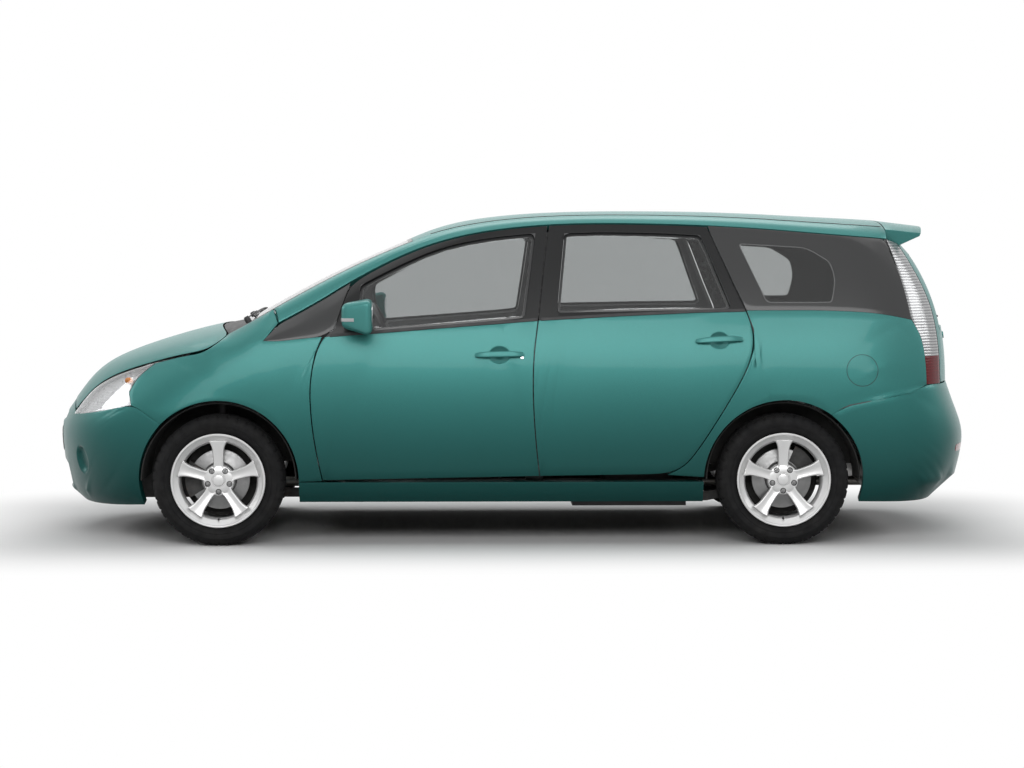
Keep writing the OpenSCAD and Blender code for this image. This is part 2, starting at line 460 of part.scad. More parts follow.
// Every cell of a grid as its own small patch, apart from the openings.
function cells(g, open) = [for (i = [0 : len(g) - 2], j = [0 : len(g[0]) - 2])
    if (!open(i, j)) [[g[i][j], g[i][j + 1]], [g[i + 1][j], g[i + 1][j + 1]]]];
function reflected(path) = [for (p = backward(path)) [-p[0], p[1]]];
function whole(path) = concat(but_last(reflected(path)), path);
bumper_end = asin((bumper_bottom + 20 - drawn_hub) / drawn_arch);
NOSE_ARCH = [for (p = arc(drawn_front, front_seam_angle, bumper_end, 6)) nose_pair(p + [2 * fixed_gap, 0])];
NOSE_TOP = chain([[for (i = [0 : 6]) nose_front(i / 6) - [0, fixed_gap]],
    [for (p = backward(spread(LAMP_BOTTOM, 5))) nose_pair(p - [0, 2 * fixed_gap])],
    [for (p = spread(BUMPER_SEAM, 3)) nose_pair(p + [2 * fixed_gap, -fixed_gap])], NOSE_ARCH]);
nose_n = len(NOSE_TOP) - 1;
NOSE_BOTTOM = [for (i = [0 : nose_n]) [NOSE_ARCH[6][0] * i / nose_n,
    mix(bumper_bottom, NOSE_ARCH[6][1], pow(i / nose_n, 3))]];
function nose_grid(f) = levels(whole(NOSE_BOTTOM), whole(NOSE_TOP), f);
low_grille = 6;            // columns from the middle to the lower opening's end
high_grille = 4;
module front_bumper() color(paint) {
    open = function (i, j) let (c = j < nose_n ? nose_n - 1 - j : j - nose_n)
        (i == 1 && c < low_grille) || (i == 4 && c < high_grille);
    panel(nose_skin, cells(nose_grid(BUMPER_LEVELS), open), bumper_depth, 0, 0.01, 10);
}
// Grilles, set back in the two openings of the bumper.
module grille() color(dark) for (k = [[1, low_grille], [4, high_grille]]) {
    edge = 0.0018;
    a = BUMPER_LEVELS[k[0]] + edge;
    b = BUMPER_LEVELS[k[0] + 1] - edge;
    rows = nose_grid([a, (a + b) / 2, b]);
    panel(nose_skin, [[for (r = rows) [for (j = [-k[1] : k[1]])
        r[nose_n + j] - [abs(j) == k[1] ? sign(j) * edge / 2 : 0, 0]]]], 24, 16, 0.01, 10);
}
module rear_bumper() color(paint) {
    edge = [for (i = [0 : 7]) [stern_turn(-2076, bumper_top) * i / 7, bumper_top - 2.5]];
    seam = [for (p = spread(REAR_BUMPER_SEAM, 5)) stern_pair(p - [2 * fixed_gap, fixed_gap])];
    end_angle = 180 - asin((rear_bottom + 6 - drawn_hub) / drawn_arch);
    arch = [for (p = arc(drawn_rear, rear_seam_angle, end_angle, 6)) stern_pair(p - [2 * fixed_gap, 0])];
    top = chain([edge, seam, arch]);
    low_end = arch[6];
    bottom = [for (i = [0 : len(top) - 1]) [low_end[0] * i / (len(top) - 1),
        mix(rear_bottom, low_end[1], pow(i / (len(top) - 1), 3))]];
    panel(stern_skin, [levels(whole(bottom), whole(top), [0, 0.2, 0.42, 0.6, 0.8, 1])],
        bumper_depth, 0, 0.01, 10);
}

// Tailgate: a ring round the rear window, with the spoiler over it.
tailgate_top = 1512;
TAILGATE_SIDE = [for (p = spread(TAIL_REAR_EDGE, 11)) stern_pair(p)];
function tailgate_loop(d) = let (q = TAILGATE_SIDE, top = q[0][0], low = q[11][0])
    inset_turns(join([[for (i = [0 : 8]) [low * (i / 4 - 1), bumper_top]],
    backward(q), [for (i = [0 : 8]) [top * (1 - i / 4), tailgate_top]],
    [for (p = q) [-p[0], p[1]]]]), d);
// Insets a loop of turns and heights; turn_scale turns millimetres into turns.
turn_scale = 1 / 1100;
function inset_turns(loop, d) = [for (p = inset([for (p = loop) [p[0] / turn_scale, p[1]]], d))
    [p[0] * turn_scale, p[1]]];
function rear_window_loop() = let (low = 0.325, top = 0.285)
    join([[for (i = [0 : 8]) [low * (i / 4 - 1), 1085]],
    [for (i = [0 : 11]) let (s = i / 11) [mix(low, top, s), mix(1085, 1455, s)]],
    [for (i = [0 : 8]) [top * (1 - i / 4), 1455]],
    [for (i = [0 : 11]) let (s = 1 - i / 11) [-mix(low, top, s), mix(1085, 1455, s)]]]);
module tailgate() color(paint) {
    hole = closed(rear_window_loop());
    sheet(stern_skin, [between(closed(tailgate_loop(door_inset)), hole, 4)],
        [between(closed(tailgate_loop(door_inset + bevel)), hole, 4)],
        constant(0), constant(quarter_depth), 0.03, 20);
    // Spoiler: sections from side to side, each a wedge from the roof's edge to its tip.
    roof_end = ROOF_X[len(ROOF_X) - 1] - shut_gap;
    loft([for (j = [-8 : 8]) let (u = j / 8, h = top_point(roof_end, 0.9 * u), y = h[1] * 0.93, e = u * u,
        back = mix(STERN_START, curve(STERN, 1500), pow(1 - pow(y / curve(BARREL, 1500), 2),
            1 / STERN_POWER)))
        [place(h), place([-2158 + 57 * e, y, h[2] - 30 + 10 * e]), place([-2152 + 57 * e, y,
            h[2] - 44 + 10 * e]),
        place([back + 8, y, 1500]), place([back + 34, y, 1488]), place(h - [0, h[1] * 0.03, 60])]]);
}
// Closed solid through a row of matching closed sections.
module loft(sections) {
    n = len(sections[0]);
    m = len(sections);
    faces = concat([[for (i = [0 : n - 1]) i]], [[for (i = [n - 1 : -1 : 0]) (m - 1) * n + i]],
        [for (k = [0 : m - 2], i = [0 : n - 1]) let (a = k * n + i, b = k * n + (i + 1) % n)
            each [[b, a, a + n], [b, a + n, b + n]]]);
    s = sections[0];
    turns = [for (i = [1 : n - 2]) cross(s[i] - s[0], s[i + 1] - s[0]) * (sections[1][0] - s[0])];
    polyhedron(flat(sections), turns * [for (t = turns) 1] > 0 ? faces
        : [for (f = faces) backward(f)], convexity = 6);
}
module tailgate_glass() color(tint)
    panel(stern_skin, [let (l = inset_turns(rear_window_loop(), fixed_gap))
        [for (i = [0 : 11]) [for (j = [0 : 8]) mix(l[(38 - i) % 38], l[8 + i], j / 8)]]],
        12 + glass_depth, 12, 0.03, 20);

// ---------------------------------------------------------------------------------------------
// Floor, pillars and running gear.
floor_z = ground_clearance + 50;
floor_t = 24;
tunnel_half = 110;
tunnel_top = floor_z + 110;
deck_z = z_at(410);        // underside of the raised floor over the rear axle
deck_from = x_at(drawn_rear + drawn_arch) + 30;
deck_to = x_at(-2225);
firewall_x = x_at(1040);
firewall_t = 20;
firewall_top = z_at(1030);
liner_radius = arch_radius - 14;
liner_t = 5;
front_wall_y = wheel_y - 310;
rear_wall_y = wheel_y - tyre_width / 2 - 45;
deck_half = rear_wall_y - liner_t - fixed_gap;
rail_y = front_wall_y - 70;
rail_w = 55;
rail_z = tyre_radius + 85;
rail_h = 75;
beam_x = x_at(2190);
tow_radius = 9;
tow_depth = 30;
post_half = 700;           // inner faces of the front and middle posts

module block(from, to) translate(from) cube(to - from);
module floor_pan() color(dark) {
    difference() {
        union() {
            // Flat floor with its tunnel and inner sills.
            for (side = [-1, 1]) {
                block([sill_from, min(side * tunnel_half, side * inner_sill), floor_z],
                    [firewall_x, max(side * tunnel_half, side * inner_sill), floor_z + floor_t]);
                block([sill_from, side > 0 ? inner_sill - 60 : -inner_sill, z_at(sill_bottom)],
                    [firewall_x, side > 0 ? inner_sill : 60 - inner_sill, z_at(sill_top)]);
                block([sill_from, side * tunnel_half - 10, floor_z],
                    [firewall_x, side * tunnel_half + 10, tunnel_top]);
                // Rails through the engine bay.
                block([firewall_x, side * (rail_y - rail_w / 2) - rail_w / 2, rail_z],
                    [beam_x + 30, side * (rail_y - rail_w / 2) + rail_w / 2, rail_z + rail_h]);
            }
            block([sill_from, -tunnel_half, tunnel_top - 20], [firewall_x, tunnel_half, tunnel_top]);
            both_sides() bonnet_stop(12, rail_z + rail_h);
            // Firewall.
            block([firewall_x, -y_at(post_half) + fixed_gap, floor_z],
                [firewall_x + firewall_t, y_at(post_half) - fixed_gap, firewall_top]);
            // Riser and deck over the rear axle.
            block([deck_from - 30, -deck_half, floor_z], [deck_from, deck_half, deck_z + floor_t]);
            block([deck_to, -deck_half, deck_z], [deck_from, deck_half, deck_z + floor_t]);
            block([x_at(-2080), -y_at(740), deck_z], [rear_axle_x - arch_radius - 3, y_at(740),
                deck_z + floor_t]);
            // Front and rear beams behind the bumpers.
            block([beam_x, -y_at(420), rail_z], [beam_x + 30, y_at(420), rail_z + rail_h]);
            block([deck_to - 22, -y_at(440), deck_z - 70], [deck_to, y_at(440), deck_z + 70]);
        }
        // Exhaust passes under the firewall and the riser.
        for (x = [deck_from - 31, firewall_x - 1])
            block([x, 10 - tunnel_half, floor_z - 1], [x + 32, tunnel_half - 10, tunnel_top - 20]);
    }
}

// Half-round liner over one wheel, with a wall on its inner side from height wall_from.
module liner(x, wall_y, wall_from) translate([x, 0, tyre_radius]) difference() {
    translate([0, wall_y - liner_t, 0]) rotate([-90, 0, 0])
        cylinder(r = liner_radius, h = width / 2 - 50 - wall_y + liner_t, $fn = 96);
    translate([0, wall_y, 0]) rotate([-90, 0, 0])
        cylinder(r = liner_radius - liner_t, h = width / 2 - wall_y, $fn = 96);
    block([-arch_radius - 1, 0, -arch_radius - 1], [arch_radius + 1, width / 2 + 1, 0]);
    block([-arch_radius + liner_t, wall_y - liner_t - 1, -1], [arch_radius - liner_t, wall_y + 1,
        wall_from]);
}
module wheel_liners() color([0.07, 0.07, 0.07]) both_sides() {
    difference() {
        liner(front_axle, front_wall_y, 60);
        translate([front_axle, strut_top_y, tyre_radius + liner_radius - 60])
            cylinder(r = tower_radius + 3, h = 100);
    }
    // Bracket to the rail.
    for (x = [front_axle - 250, front_axle + 220])
        block([x, rail_y + seat_clear, rail_z + 20], [x + 30, front_wall_y - 1, rail_z + 50]);
    liner(rear_axle_x, rear_wall_y, 60);
}

// Posts behind the side panels, standing on the sills, the rear liners and the deck.
module band_sheet(a, b, skip, thick)
    sheet(side_skin, [between(a, b, 1)], [between(a, b, 1)], skip,
        function (p) skip(p) + thick, 20, 40);
function cover_profile(x, zs, cover) = concat([for (z = zs) [y_at(half_width(x, z) - cover(z)), z_at(z)]],
    [for (z = backward(zs)) [y_at(min(post_half, half_width(x, z) - cover(z) - 40)), z_at(z)]]);
module upright(from, to) translate([from, 0, 0]) rotate([90, 0, 90]) linear_extrude(to - from) children();
post_foot = sill_top + 0.3;
module side_frames() color(trim) both_sides() {
    // Middle post: straight below the belt, leaning above it.
    upright(x_at(-148), x_at(-62))
        polygon(cover_profile(-105, [post_foot, 420, 600, 800, 940, 1010], function (z) door_depth + 9));
    translate([x_at(-105), 0, z_at(950)]) rotate([0, -5.7, 0]) translate([-x_at(-105), 0, -z_at(950)])
        upright(x_at(-145), x_at(-65)) polygon(cover_profile(-120, [950, 1060, 1124, 1140, 1200, 1400,
            1570],
            function (z) z < 1130 ? door_depth + 9 : frame_depth + 12));
    // Front post, which carries the front door's hinges.
    upright(x_at(1026), x_at(1066))
        polygon(cover_profile(1046, [post_foot, 420, 600, 800, 940, 985], function (z) wing_depth + 14));
    // Post behind the rear door.
    back = concat([[-970, curve(SHOULDER, -970) + 20]], spread(DOOR_QUARTER_EDGE, 6), [[-1176, 1150],
        [-1186, 1100]]);
    band_sheet(shift(back, -80), shift(back, -3), function (p) p[1] > belt(p[0]) + 25
        ? frame_depth + 8 : quarter_depth + 10, 36);
    block([x_at(-1275), y_at(690), tyre_radius + liner_radius + seat_clear], [x_at(-1190), y_at(760),
        z_at(1125)]);
    block([rear_axle_x - 30, y_at(690), tyre_radius + liner_radius + seat_clear],
        [x_at(-1200), y_at(760), tyre_radius + liner_radius + 30]);
    // Rear corner post.
    corner = concat([[-1880, curve(SHOULDER, -1880) + 20]], spread(TAIL_QUARTER_EDGE, 5));
    band_sheet(shift(corner, -4), shift(corner, 66), function (p) p[1] > curve(SHOULDER, p[0]) - 60
        ? frame_depth + 16 : quarter_depth + 14, 30);
    block([x_at(-1992), y_at(690), deck_z + floor_t + seat_clear], [x_at(-1945), y_at(738), z_at(1140)]);
}

// Engine, with its gearbox, as one block on the subframe.
engine_half = 335;
engine_from = front_axle + 20;
engine_to = front_axle + 520;
subframe_z = min(tyre_radius - 140, floor_z - 50);
subframe_top = floor_z - 8;
arm_z = tyre_radius - 118;
arm_t = 28;
module engine_block() color(metal)
    block([engine_from, -engine_half, subframe_top + seat_clear], [engine_to, engine_half, z_at(800)]);

// Kingpin: an inclined line from the lower ball joint to the strut's top.
ball_y = wheel_y - 66;
kingpin_lean = 10.7;
function kingpin(h) = [front_axle, ball_y - (h - arm_z) * tan(kingpin_lean), h];
strut_top_z = tyre_radius + liner_radius + 40;
strut_top_y = kingpin(strut_top_z)[1];
tower_radius = 68;
pin_radius = 9;
knuckle_top = tyre_radius + 150;
// Places children with Z up along the left kingpin, at height h.
module on_kingpin(h) translate(kingpin(h)) rotate([kingpin_lean, 0, 0]) children();
tow_x = front_axle + 670;
module front_subframe() color(metal) difference() {
    subframe();
    // Threaded hole for a towing or lashing eye.
    translate([tow_x, -300, subframe_z - 1]) cylinder(r = tow_radius, h = tow_depth + 1);
}
module subframe() {
    block([front_axle - 230, -330, subframe_z], [front_axle - 90, 330, subframe_top]);
    block([front_axle + 60, -330, subframe_z], [front_axle + 480, 330, subframe_top]);
    both_sides() {
        block([firewall_x - 60, 270, subframe_z], [front_axle + 690, 330, subframe_top]);
        block([firewall_x - 60, 270, subframe_z], [firewall_x - 10, 330, floor_z - seat_clear]);
        block([front_axle + 650, 270, subframe_z], [front_axle + 690, rail_y - 10, subframe_top]);
        block([front_axle + 650, rail_y - rail_w, subframe_z], [front_axle + 690, rail_y,
            rail_z - seat_clear]);
        // Lower arm with its ball pin.
        translate([0, 0, arm_z - arm_t]) linear_extrude(arm_t) polygon([[front_axle - 150, 329],
            [front_axle + 110, 329], [front_axle + 28, ball_y], [front_axle, ball_y + 24],
                [front_axle - 28, ball_y]]);
        on_kingpin(arm_z - 6) cylinder(r = pin_radius, h = 40);
        // Strut up to its tower.
        on_kingpin(knuckle_top - 24) cylinder(r = pin_radius, h = 60);
        on_kingpin(knuckle_top + 6) cylinder(r = strut_radius,
            h = (strut_top_z - knuckle_top) / cos(kingpin_lean) - 20);
        translate([front_axle, strut_top_y, strut_top_z - 42]) cylinder(r = tower_radius, h = 42);
        // Tower arm down to the rail.
        block([front_axle - 40, rail_y - rail_w, rail_z + rail_h + seat_clear],
            [front_axle + 40, rail_y - rail_w + 30, strut_top_z]);
        block([front_axle - 40, rail_y - rail_w, strut_top_z - 30], [front_axle + 40, strut_top_y,
            strut_top_z]);
    }
}

// Wheel carriers. The caliper straddles the disc on the side named by its angle.
spindle_radius = 20;
disc_y = -36;              // inner face of the disc, from the wheel's middle
disc_t = 24;
module caliper(angle) rotate([90, 0, 0]) rotate([0, 0, angle - 32]) translate([0, 0, -disc_y - disc_t - 18])
    rotate_extrude(angle = 64) difference() {
        translate([92, 0]) square([disc_radius + 26 - 92, disc_t + 36]);
        translate([91, 13]) square([disc_radius + 7 - 91, disc_t + 10]);
    }
module spindle(y) translate([0, disc_y - 40, 0]) rotate([-90, 0, 0]) cylinder(r = spindle_radius,
    h = y + 40 - disc_y);
module knuckle() color(metal) {
    difference() {
        union() {
            on_kingpin(arm_z + 8) cylinder(r = 26, h = (knuckle_top - arm_z - 8) / cos(kingpin_lean));
            translate([front_axle, wheel_y, tyre_radius]) {
                block([-30, disc_y - 66, -30], [30, disc_y - 30, 30]);
                spindle(20);
                caliper(0);
                block([-34, disc_y - 52, -34], [150, disc_y - 12, 34]);
            }
        }
        on_kingpin(arm_z + 7) cylinder(r = pin_radius + running, h = 30);
        on_kingpin(knuckle_top - 28) cylinder(r = pin_radius + running, h = 40);
    }
}
module rear_axle() color(metal) {
    translate([rear_axle_x, 0, tyre_radius - 30]) rotate([90, 0, 0])
        cylinder(r = 32, h = 2 * (wheel_y - 190), center = true);
    both_sides() {
        translate([rear_axle_x, wheel_y, tyre_radius]) {
            spindle(20);
            caliper(145);
            block([-45, -200, -70], [45, disc_y - 30, 46]);
            block([-130, disc_y - 46, -8], [0, disc_y - 12, 90]);
        }
        // Trailing arm to the floor, spring and its seat.
        translate([0, wheel_y - 150, 0]) rotate([90, 0, 0]) linear_extrude(40) polygon([
            [rear_axle_x, tyre_radius - 60], [deck_from - 70, floor_z - 42], [deck_from + 30, floor_z - 42],
            [deck_from + 30, floor_z - seat_clear], [deck_from - 40, floor_z - seat_clear],
            [rear_axle_x, tyre_radius - 20]]);
        translate([rear_axle_x, wheel_y - 240, tyre_radius - 2]) cylinder(r = 48,
            h = deck_z - tyre_radius + 2 - seat_clear);
        translate([rear_axle_x, wheel_y - 240, tyre_radius - 30]) cylinder(r = 58, h = 34);
    }
}

// Exhaust and fuel tank.
pipe_z = floor_z - pipe_radius + 20;
muffler_radius = 82;
muffler_x = rear_axle_x - 560;
module exhaust_system() color(metal) {
    difference() {
        union() {
            translate([front_axle - 240, 0, pipe_z]) rotate([0, -90, 0])
                cylinder(r = pipe_radius, h = front_axle - 240 - muffler_x);
            translate([muffler_x, -wheel_y + 250, tyre_radius - 30]) rotate([-90, 0, 0])
                cylinder(r = muffler_radius, h = 2 * wheel_y - 500);
            translate([muffler_x, 250 - wheel_y + 60, pipe_z - 10]) rotate([0, -90, 0])
                cylinder(r = pipe_radius, h = 220);
        }
        translate([muffler_x - 155, 250 - wheel_y + 60, pipe_z - 10]) rotate([0, -90, 0])
            cylinder(r = pipe_radius - 3, h = 70);
    }
    // Hangers.
    for (x = [front_axle - 700, rear_axle_x + 700])
        translate([x, 0, pipe_z]) cylinder(r = 7, h = tunnel_top - 20 - seat_clear - pipe_z);
    for (y = [-wheel_y + 320, wheel_y - 320])
        translate([muffler_x, y, tyre_radius]) cylinder(r = 7, h = deck_z - tyre_radius - seat_clear);
}
module fuel_tank() color(dark)
    block([x_at(-880), tunnel_half + 40, floor_z - 62], [x_at(-300), inner_sill - 90,
        floor_z - seat_clear]);

// ---------------------------------------------------------------------------------------------
// Wheels. Drawn about the wheel's middle, with +Y to the outside.
bead_radius = rim_radius - 19;
hub_radius = 70;
spoke_face = 84;
module on_axle(x, side) translate([x, side * wheel_y, tyre_radius])
    mirror([0, side < 0 ? 1 : 0, 0]) children();
module rim() color([0.78, 0.79, 0.8]) {
    w = tyre_width / 2;
    difference() {
        union() {
            // Barrel with its two flanges.
            rotate([-90, 0, 0]) rotate_extrude($fn = 96) polygon([[bead_radius - 12, 12 - w],
                [bead_radius + 2, 12 - w], [rim_radius - 4, 4 - w], [rim_radius, 7 - w],
                [bead_radius, 22 - w], [bead_radius, w - 22], [rim_radius, w - 7],
                [rim_radius - 4, w - 3], [bead_radius - 8, w - 8], [bead_radius - 12, w - 30]]);
            // Hub and five spokes, one straight up.
            translate([0, disc_y, 0]) rotate([-90, 0, 0]) cylinder(r = hub_radius,
                h = spoke_face - 6 - disc_y);
            for (k = [0 : 4]) rotate([0, 72 * k, 0]) translate([0, spoke_face, 0]) rotate([90, 0, 0])
                linear_extrude(30) polygon([[-27, 40], [27, 40], [34, bead_radius - 10], [-34,
                    bead_radius - 10]]);
            // Brake disc.
            translate([0, disc_y, 0]) rotate([-90, 0, 0]) cylinder(r = disc_radius, h = disc_t, $fn = 96);
        }
        translate([0, disc_y - 1, 0]) rotate([-90, 0, 0]) cylinder(r = spindle_radius + running,
            h = 60 - disc_y);
        for (k = [0 : 4]) rotate([0, 36 + 72 * k, 0]) translate([0, spoke_face - 26,
            57.15]) rotate([-90, 0, 0])
            cylinder(r = 7, h = 30);
    }
}
module tyre() color([0.05, 0.05, 0.05]) rotate([-90, 0,
    0]) rotate_extrude($fn = 128) let (w = tyre_width / 2)
    polygon([[bead_radius + 0.5, 24 - w], [rim_radius + 2, 10 - w], [rim_radius + 16, 3 - w],
        [(rim_radius + tyre_radius) / 2 + 6, -w], [tyre_radius - 12, 7 - w], [tyre_radius - 3, 20 - w],
        [tyre_radius, 34 - w], [tyre_radius, w - 34], [tyre_radius - 3, w - 20], [tyre_radius - 12, w - 7],
        [(rim_radius + tyre_radius) / 2 + 6, w], [rim_radius + 16, w - 3], [rim_radius + 2, w - 10],
        [bead_radius + 0.5, w - 24]]);

// ---------------------------------------------------------------------------------------------
// Door mirrors: a plate on the door's skin, an arm and a housing.
mirror_y = y_at(905);
module door_mirror() color(paint) {
    plate = [for (a = [0 : 30 : 330]) [790 + 40 * cos(a), 1108 + 20 * sin(a)]];
    mirror_z = z_at(1152);
    mirror_x = x_at(778);
    sheet(side_skin, folded(plate, 0, 2), folded(plate, 0, 2), constant(-16), constant(-0.6), 20, 40);
    block([mirror_x - 18, y_at(849), z_at(1098)], [mirror_x + 34, mirror_y + 30, z_at(1118)]);
    hull() {
        for (z = [-56, 56], y = [0, 118])
            translate([mirror_x - 50, mirror_y + y, mirror_z + z - y * 0.05]) sphere(r = 28, $fn = 20);
        for (z = [-26, 30], y = [22, 88])
            translate([mirror_x + 38, mirror_y + y, mirror_z + z]) sphere(r = 38, $fn = 20);
    }
}

// ---------------------------------------------------------------------------------------------
// Cabin.
dash_front = firewall_x - fixed_gap;
module dashboard() color(trim) difference() {
    union() {
        translate([0, y_at(690), 0]) rotate([90, 0, 0]) linear_extrude(y_at(1380)) dash_outline();
        on_column() translate([0, 0, -260]) cylinder(r = 42, h = 240);
    }
    on_column() translate([0, 0, -100]) cylinder(r = column_radius + running, h = 90);
}
column_radius = 14;
module dash_outline() polygon([[dash_front, z_at(640)], [dash_front, firewall_top + 1], [x_at(1290),
    firewall_top + 1],
        [x_at(1290), firewall_top + 20], [x_at(1000), z_at(1072)], [x_at(820), z_at(1050)],
        [x_at(730), z_at(1000)], [x_at(700), z_at(900)], [x_at(790), z_at(760)], [x_at(850), z_at(640)]]);

// Steering wheel on its column, drawn about the driver's side.
wheel_hub = [x_at(640), y_at(370), z_at(1040)];
column_lean = 62;          // between the column and straight up
module on_column() translate(wheel_hub) rotate([0, -column_lean, 0]) children();
module steering_wheel() color(dark) on_column() {
    rotate_extrude($fn = 64) translate([steering_radius - 14, 0]) circle(r = 14, $fn = 24);
    translate([0, 0, -14]) cylinder(r = 62, h = 40);
    translate([0, 0, -80]) cylinder(r = column_radius, h = 80);
    for (a = [90, 180, 270]) rotate([0, 0, a]) translate([0, -16, -8]) cube([steering_radius - 16, 32, 14]);
}

// Seats: a pedestal, a cushion, a leaning back and a head rest. x is the foot of the back's face.
module seat(x, y, base_z, wide, cushion_z, back_h, long, lean = 18) translate([x, y, 0]) rotate([90, 0,
    0]) {
    translate([0, cushion_z]) linear_extrude(wide, center = true)
        polygon([[-60, 0], [long - 20, 20], [long, 60], [long - 20, 112], [20, 100], [-60, 90]]);
    translate([0, base_z + seat_clear]) linear_extrude(wide - 90, center = true)
        square([long - 110, cushion_z - base_z - seat_clear + 10]);
    translate([0, cushion_z + 50]) rotate(90 + lean) {
        linear_extrude(wide - 10, center = true) polygon([[-20, 0], [back_h - 40, 0], [back_h, 20],
            [back_h, 60],
            [back_h - 60, 90], [40, 100], [-20, 60]]);
        translate([back_h - 4, 20]) linear_extrude(230, center = true)
            polygon([[0, 14], [30, -6], [160, -6], [180, 20], [170, 70], [30, 74], [0, 44]]);
    }
}
module front_seats() color(trim) for (side = [-1, 1])
    seat(x_at(40), side * y_at(370), floor_z + floor_t, seat_width, z_at(400), 620, 490);
module middle_seats() color(trim) {
    for (side = [-1, 1])
        seat(x_at(-850), side * y_at(385), floor_z + floor_t, seat_width - 65, z_at(430), 560, 470);
    seat(x_at(-850), 0, tunnel_top, seat_width - 145, z_at(430), 560, 470);
}
module rear_seats() color(trim) for (side = [-1, 1])
    seat(x_at(-1580), side * y_at(300), deck_z + floor_t, seat_width, z_at(500), 480, 430);

// ---------------------------------------------------------------------------------------------
module front_door_left() door_shell(FRONT_DOOR, FRONT_WINDOW);
module rear_door_left() door_shell(REAR_DOOR, REAR_WINDOW);
module on_right() mirror([0, 1, 0]) children();

floor_pan();
wheel_liners();
side_frames();
roof_panel();
body_sides();
front_fenders();
cowl_panel();
front_bumper();
grille();
rear_bumper();
windscreen();
side_glass();
headlamps();
tail_lamps();
dashboard();
front_seats();
middle_seats();
rear_seats();
engine_block();
front_subframe();
rear_axle();
exhaust_system();
fuel_tank();
bonnet();
tailgate();
tailgate_glass();
steering_wheel();
front_door_left();
on_right() front_door_left();  // front_door_right
rear_door_left();
on_right() rear_door_left();  // rear_door_right
door_glass(FRONT_WINDOW, 12, glass);  // front_glass_left
on_right() door_glass(FRONT_WINDOW, 12, glass);  // front_glass_right
door_glass(REAR_WINDOW, 9, tint);  // rear_glass_left
on_right() door_glass(REAR_WINDOW, 9, tint);  // rear_glass_right
door_mirror();  // mirror_left
on_right() door_mirror();  // mirror_right
knuckle();  // knuckle_left
on_right() knuckle();  // knuckle_right
on_axle(front_axle, 1) rim();  // rim_front_left
on_axle(front_axle, -1) rim();  // rim_front_right
on_axle(rear_axle_x, 1) rim();  // rim_rear_left
on_axle(rear_axle_x, -1) rim();  // rim_rear_right
on_axle(front_axle, 1) tyre();  // tyre_front_left
on_axle(front_axle, -1) tyre();  // tyre_front_right
on_axle(rear_axle_x, 1) tyre();  // tyre_rear_left
on_axle(rear_axle_x, -1) tyre();  // tyre_rear_right
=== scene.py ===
"""Looks of a five-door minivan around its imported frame: paint, glass, lamps, wheels, seats and trim."""
import json
import math

import bmesh
import bpy
import numpy as np
from mathutils import Matrix, Vector
from mathutils.bvhtree import BVHTree
from mathutils.kdtree import KDTree

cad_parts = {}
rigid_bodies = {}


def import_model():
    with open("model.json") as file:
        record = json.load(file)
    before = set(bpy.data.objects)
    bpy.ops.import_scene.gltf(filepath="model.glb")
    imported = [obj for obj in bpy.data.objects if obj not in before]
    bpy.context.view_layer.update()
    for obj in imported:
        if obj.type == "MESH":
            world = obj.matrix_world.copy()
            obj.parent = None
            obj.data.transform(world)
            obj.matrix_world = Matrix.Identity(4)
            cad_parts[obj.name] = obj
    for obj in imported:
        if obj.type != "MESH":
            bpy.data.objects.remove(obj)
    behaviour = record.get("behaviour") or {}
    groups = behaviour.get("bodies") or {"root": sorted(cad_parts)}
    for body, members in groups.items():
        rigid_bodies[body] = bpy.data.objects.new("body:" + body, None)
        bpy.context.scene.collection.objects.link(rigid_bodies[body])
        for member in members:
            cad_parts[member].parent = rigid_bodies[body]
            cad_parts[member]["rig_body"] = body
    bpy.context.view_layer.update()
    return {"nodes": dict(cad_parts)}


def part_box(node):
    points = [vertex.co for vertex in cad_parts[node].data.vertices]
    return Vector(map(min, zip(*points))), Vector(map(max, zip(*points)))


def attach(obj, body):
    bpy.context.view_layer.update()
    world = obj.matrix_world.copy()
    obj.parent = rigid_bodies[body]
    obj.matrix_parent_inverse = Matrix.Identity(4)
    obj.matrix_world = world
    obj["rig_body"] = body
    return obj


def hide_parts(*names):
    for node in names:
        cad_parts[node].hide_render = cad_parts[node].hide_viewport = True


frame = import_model()
NODES = frame["nodes"]
SIDES = {"left": 1, "right": -1}

# ---------------------------------------------------------------- camera, lamps, stage
# The camera stands 12.3 m to the left of the car, a little above the belt line.
CAMERA_AT = Vector((0.2275, 12.27, 1.5))
CAMERA_YAW = math.radians(1.09)
CAMERA_TILT = math.radians(3.46)
camera_data = bpy.data.cameras.new("camera")
camera_data.lens = 80.5
camera_data.sensor_width = 36
camera = bpy.data.objects.new("camera", camera_data)
bpy.context.scene.collection.objects.link(camera)
aim = Vector((-math.sin(CAMERA_YAW), -math.cos(CAMERA_YAW), -math.tan(CAMERA_TILT)))
camera.location = CAMERA_AT
camera.rotation_euler = aim.to_track_quat("-Z", "Y").to_euler()
bpy.context.scene.camera = camera
bpy.context.scene.view_settings.view_transform = "Standard"


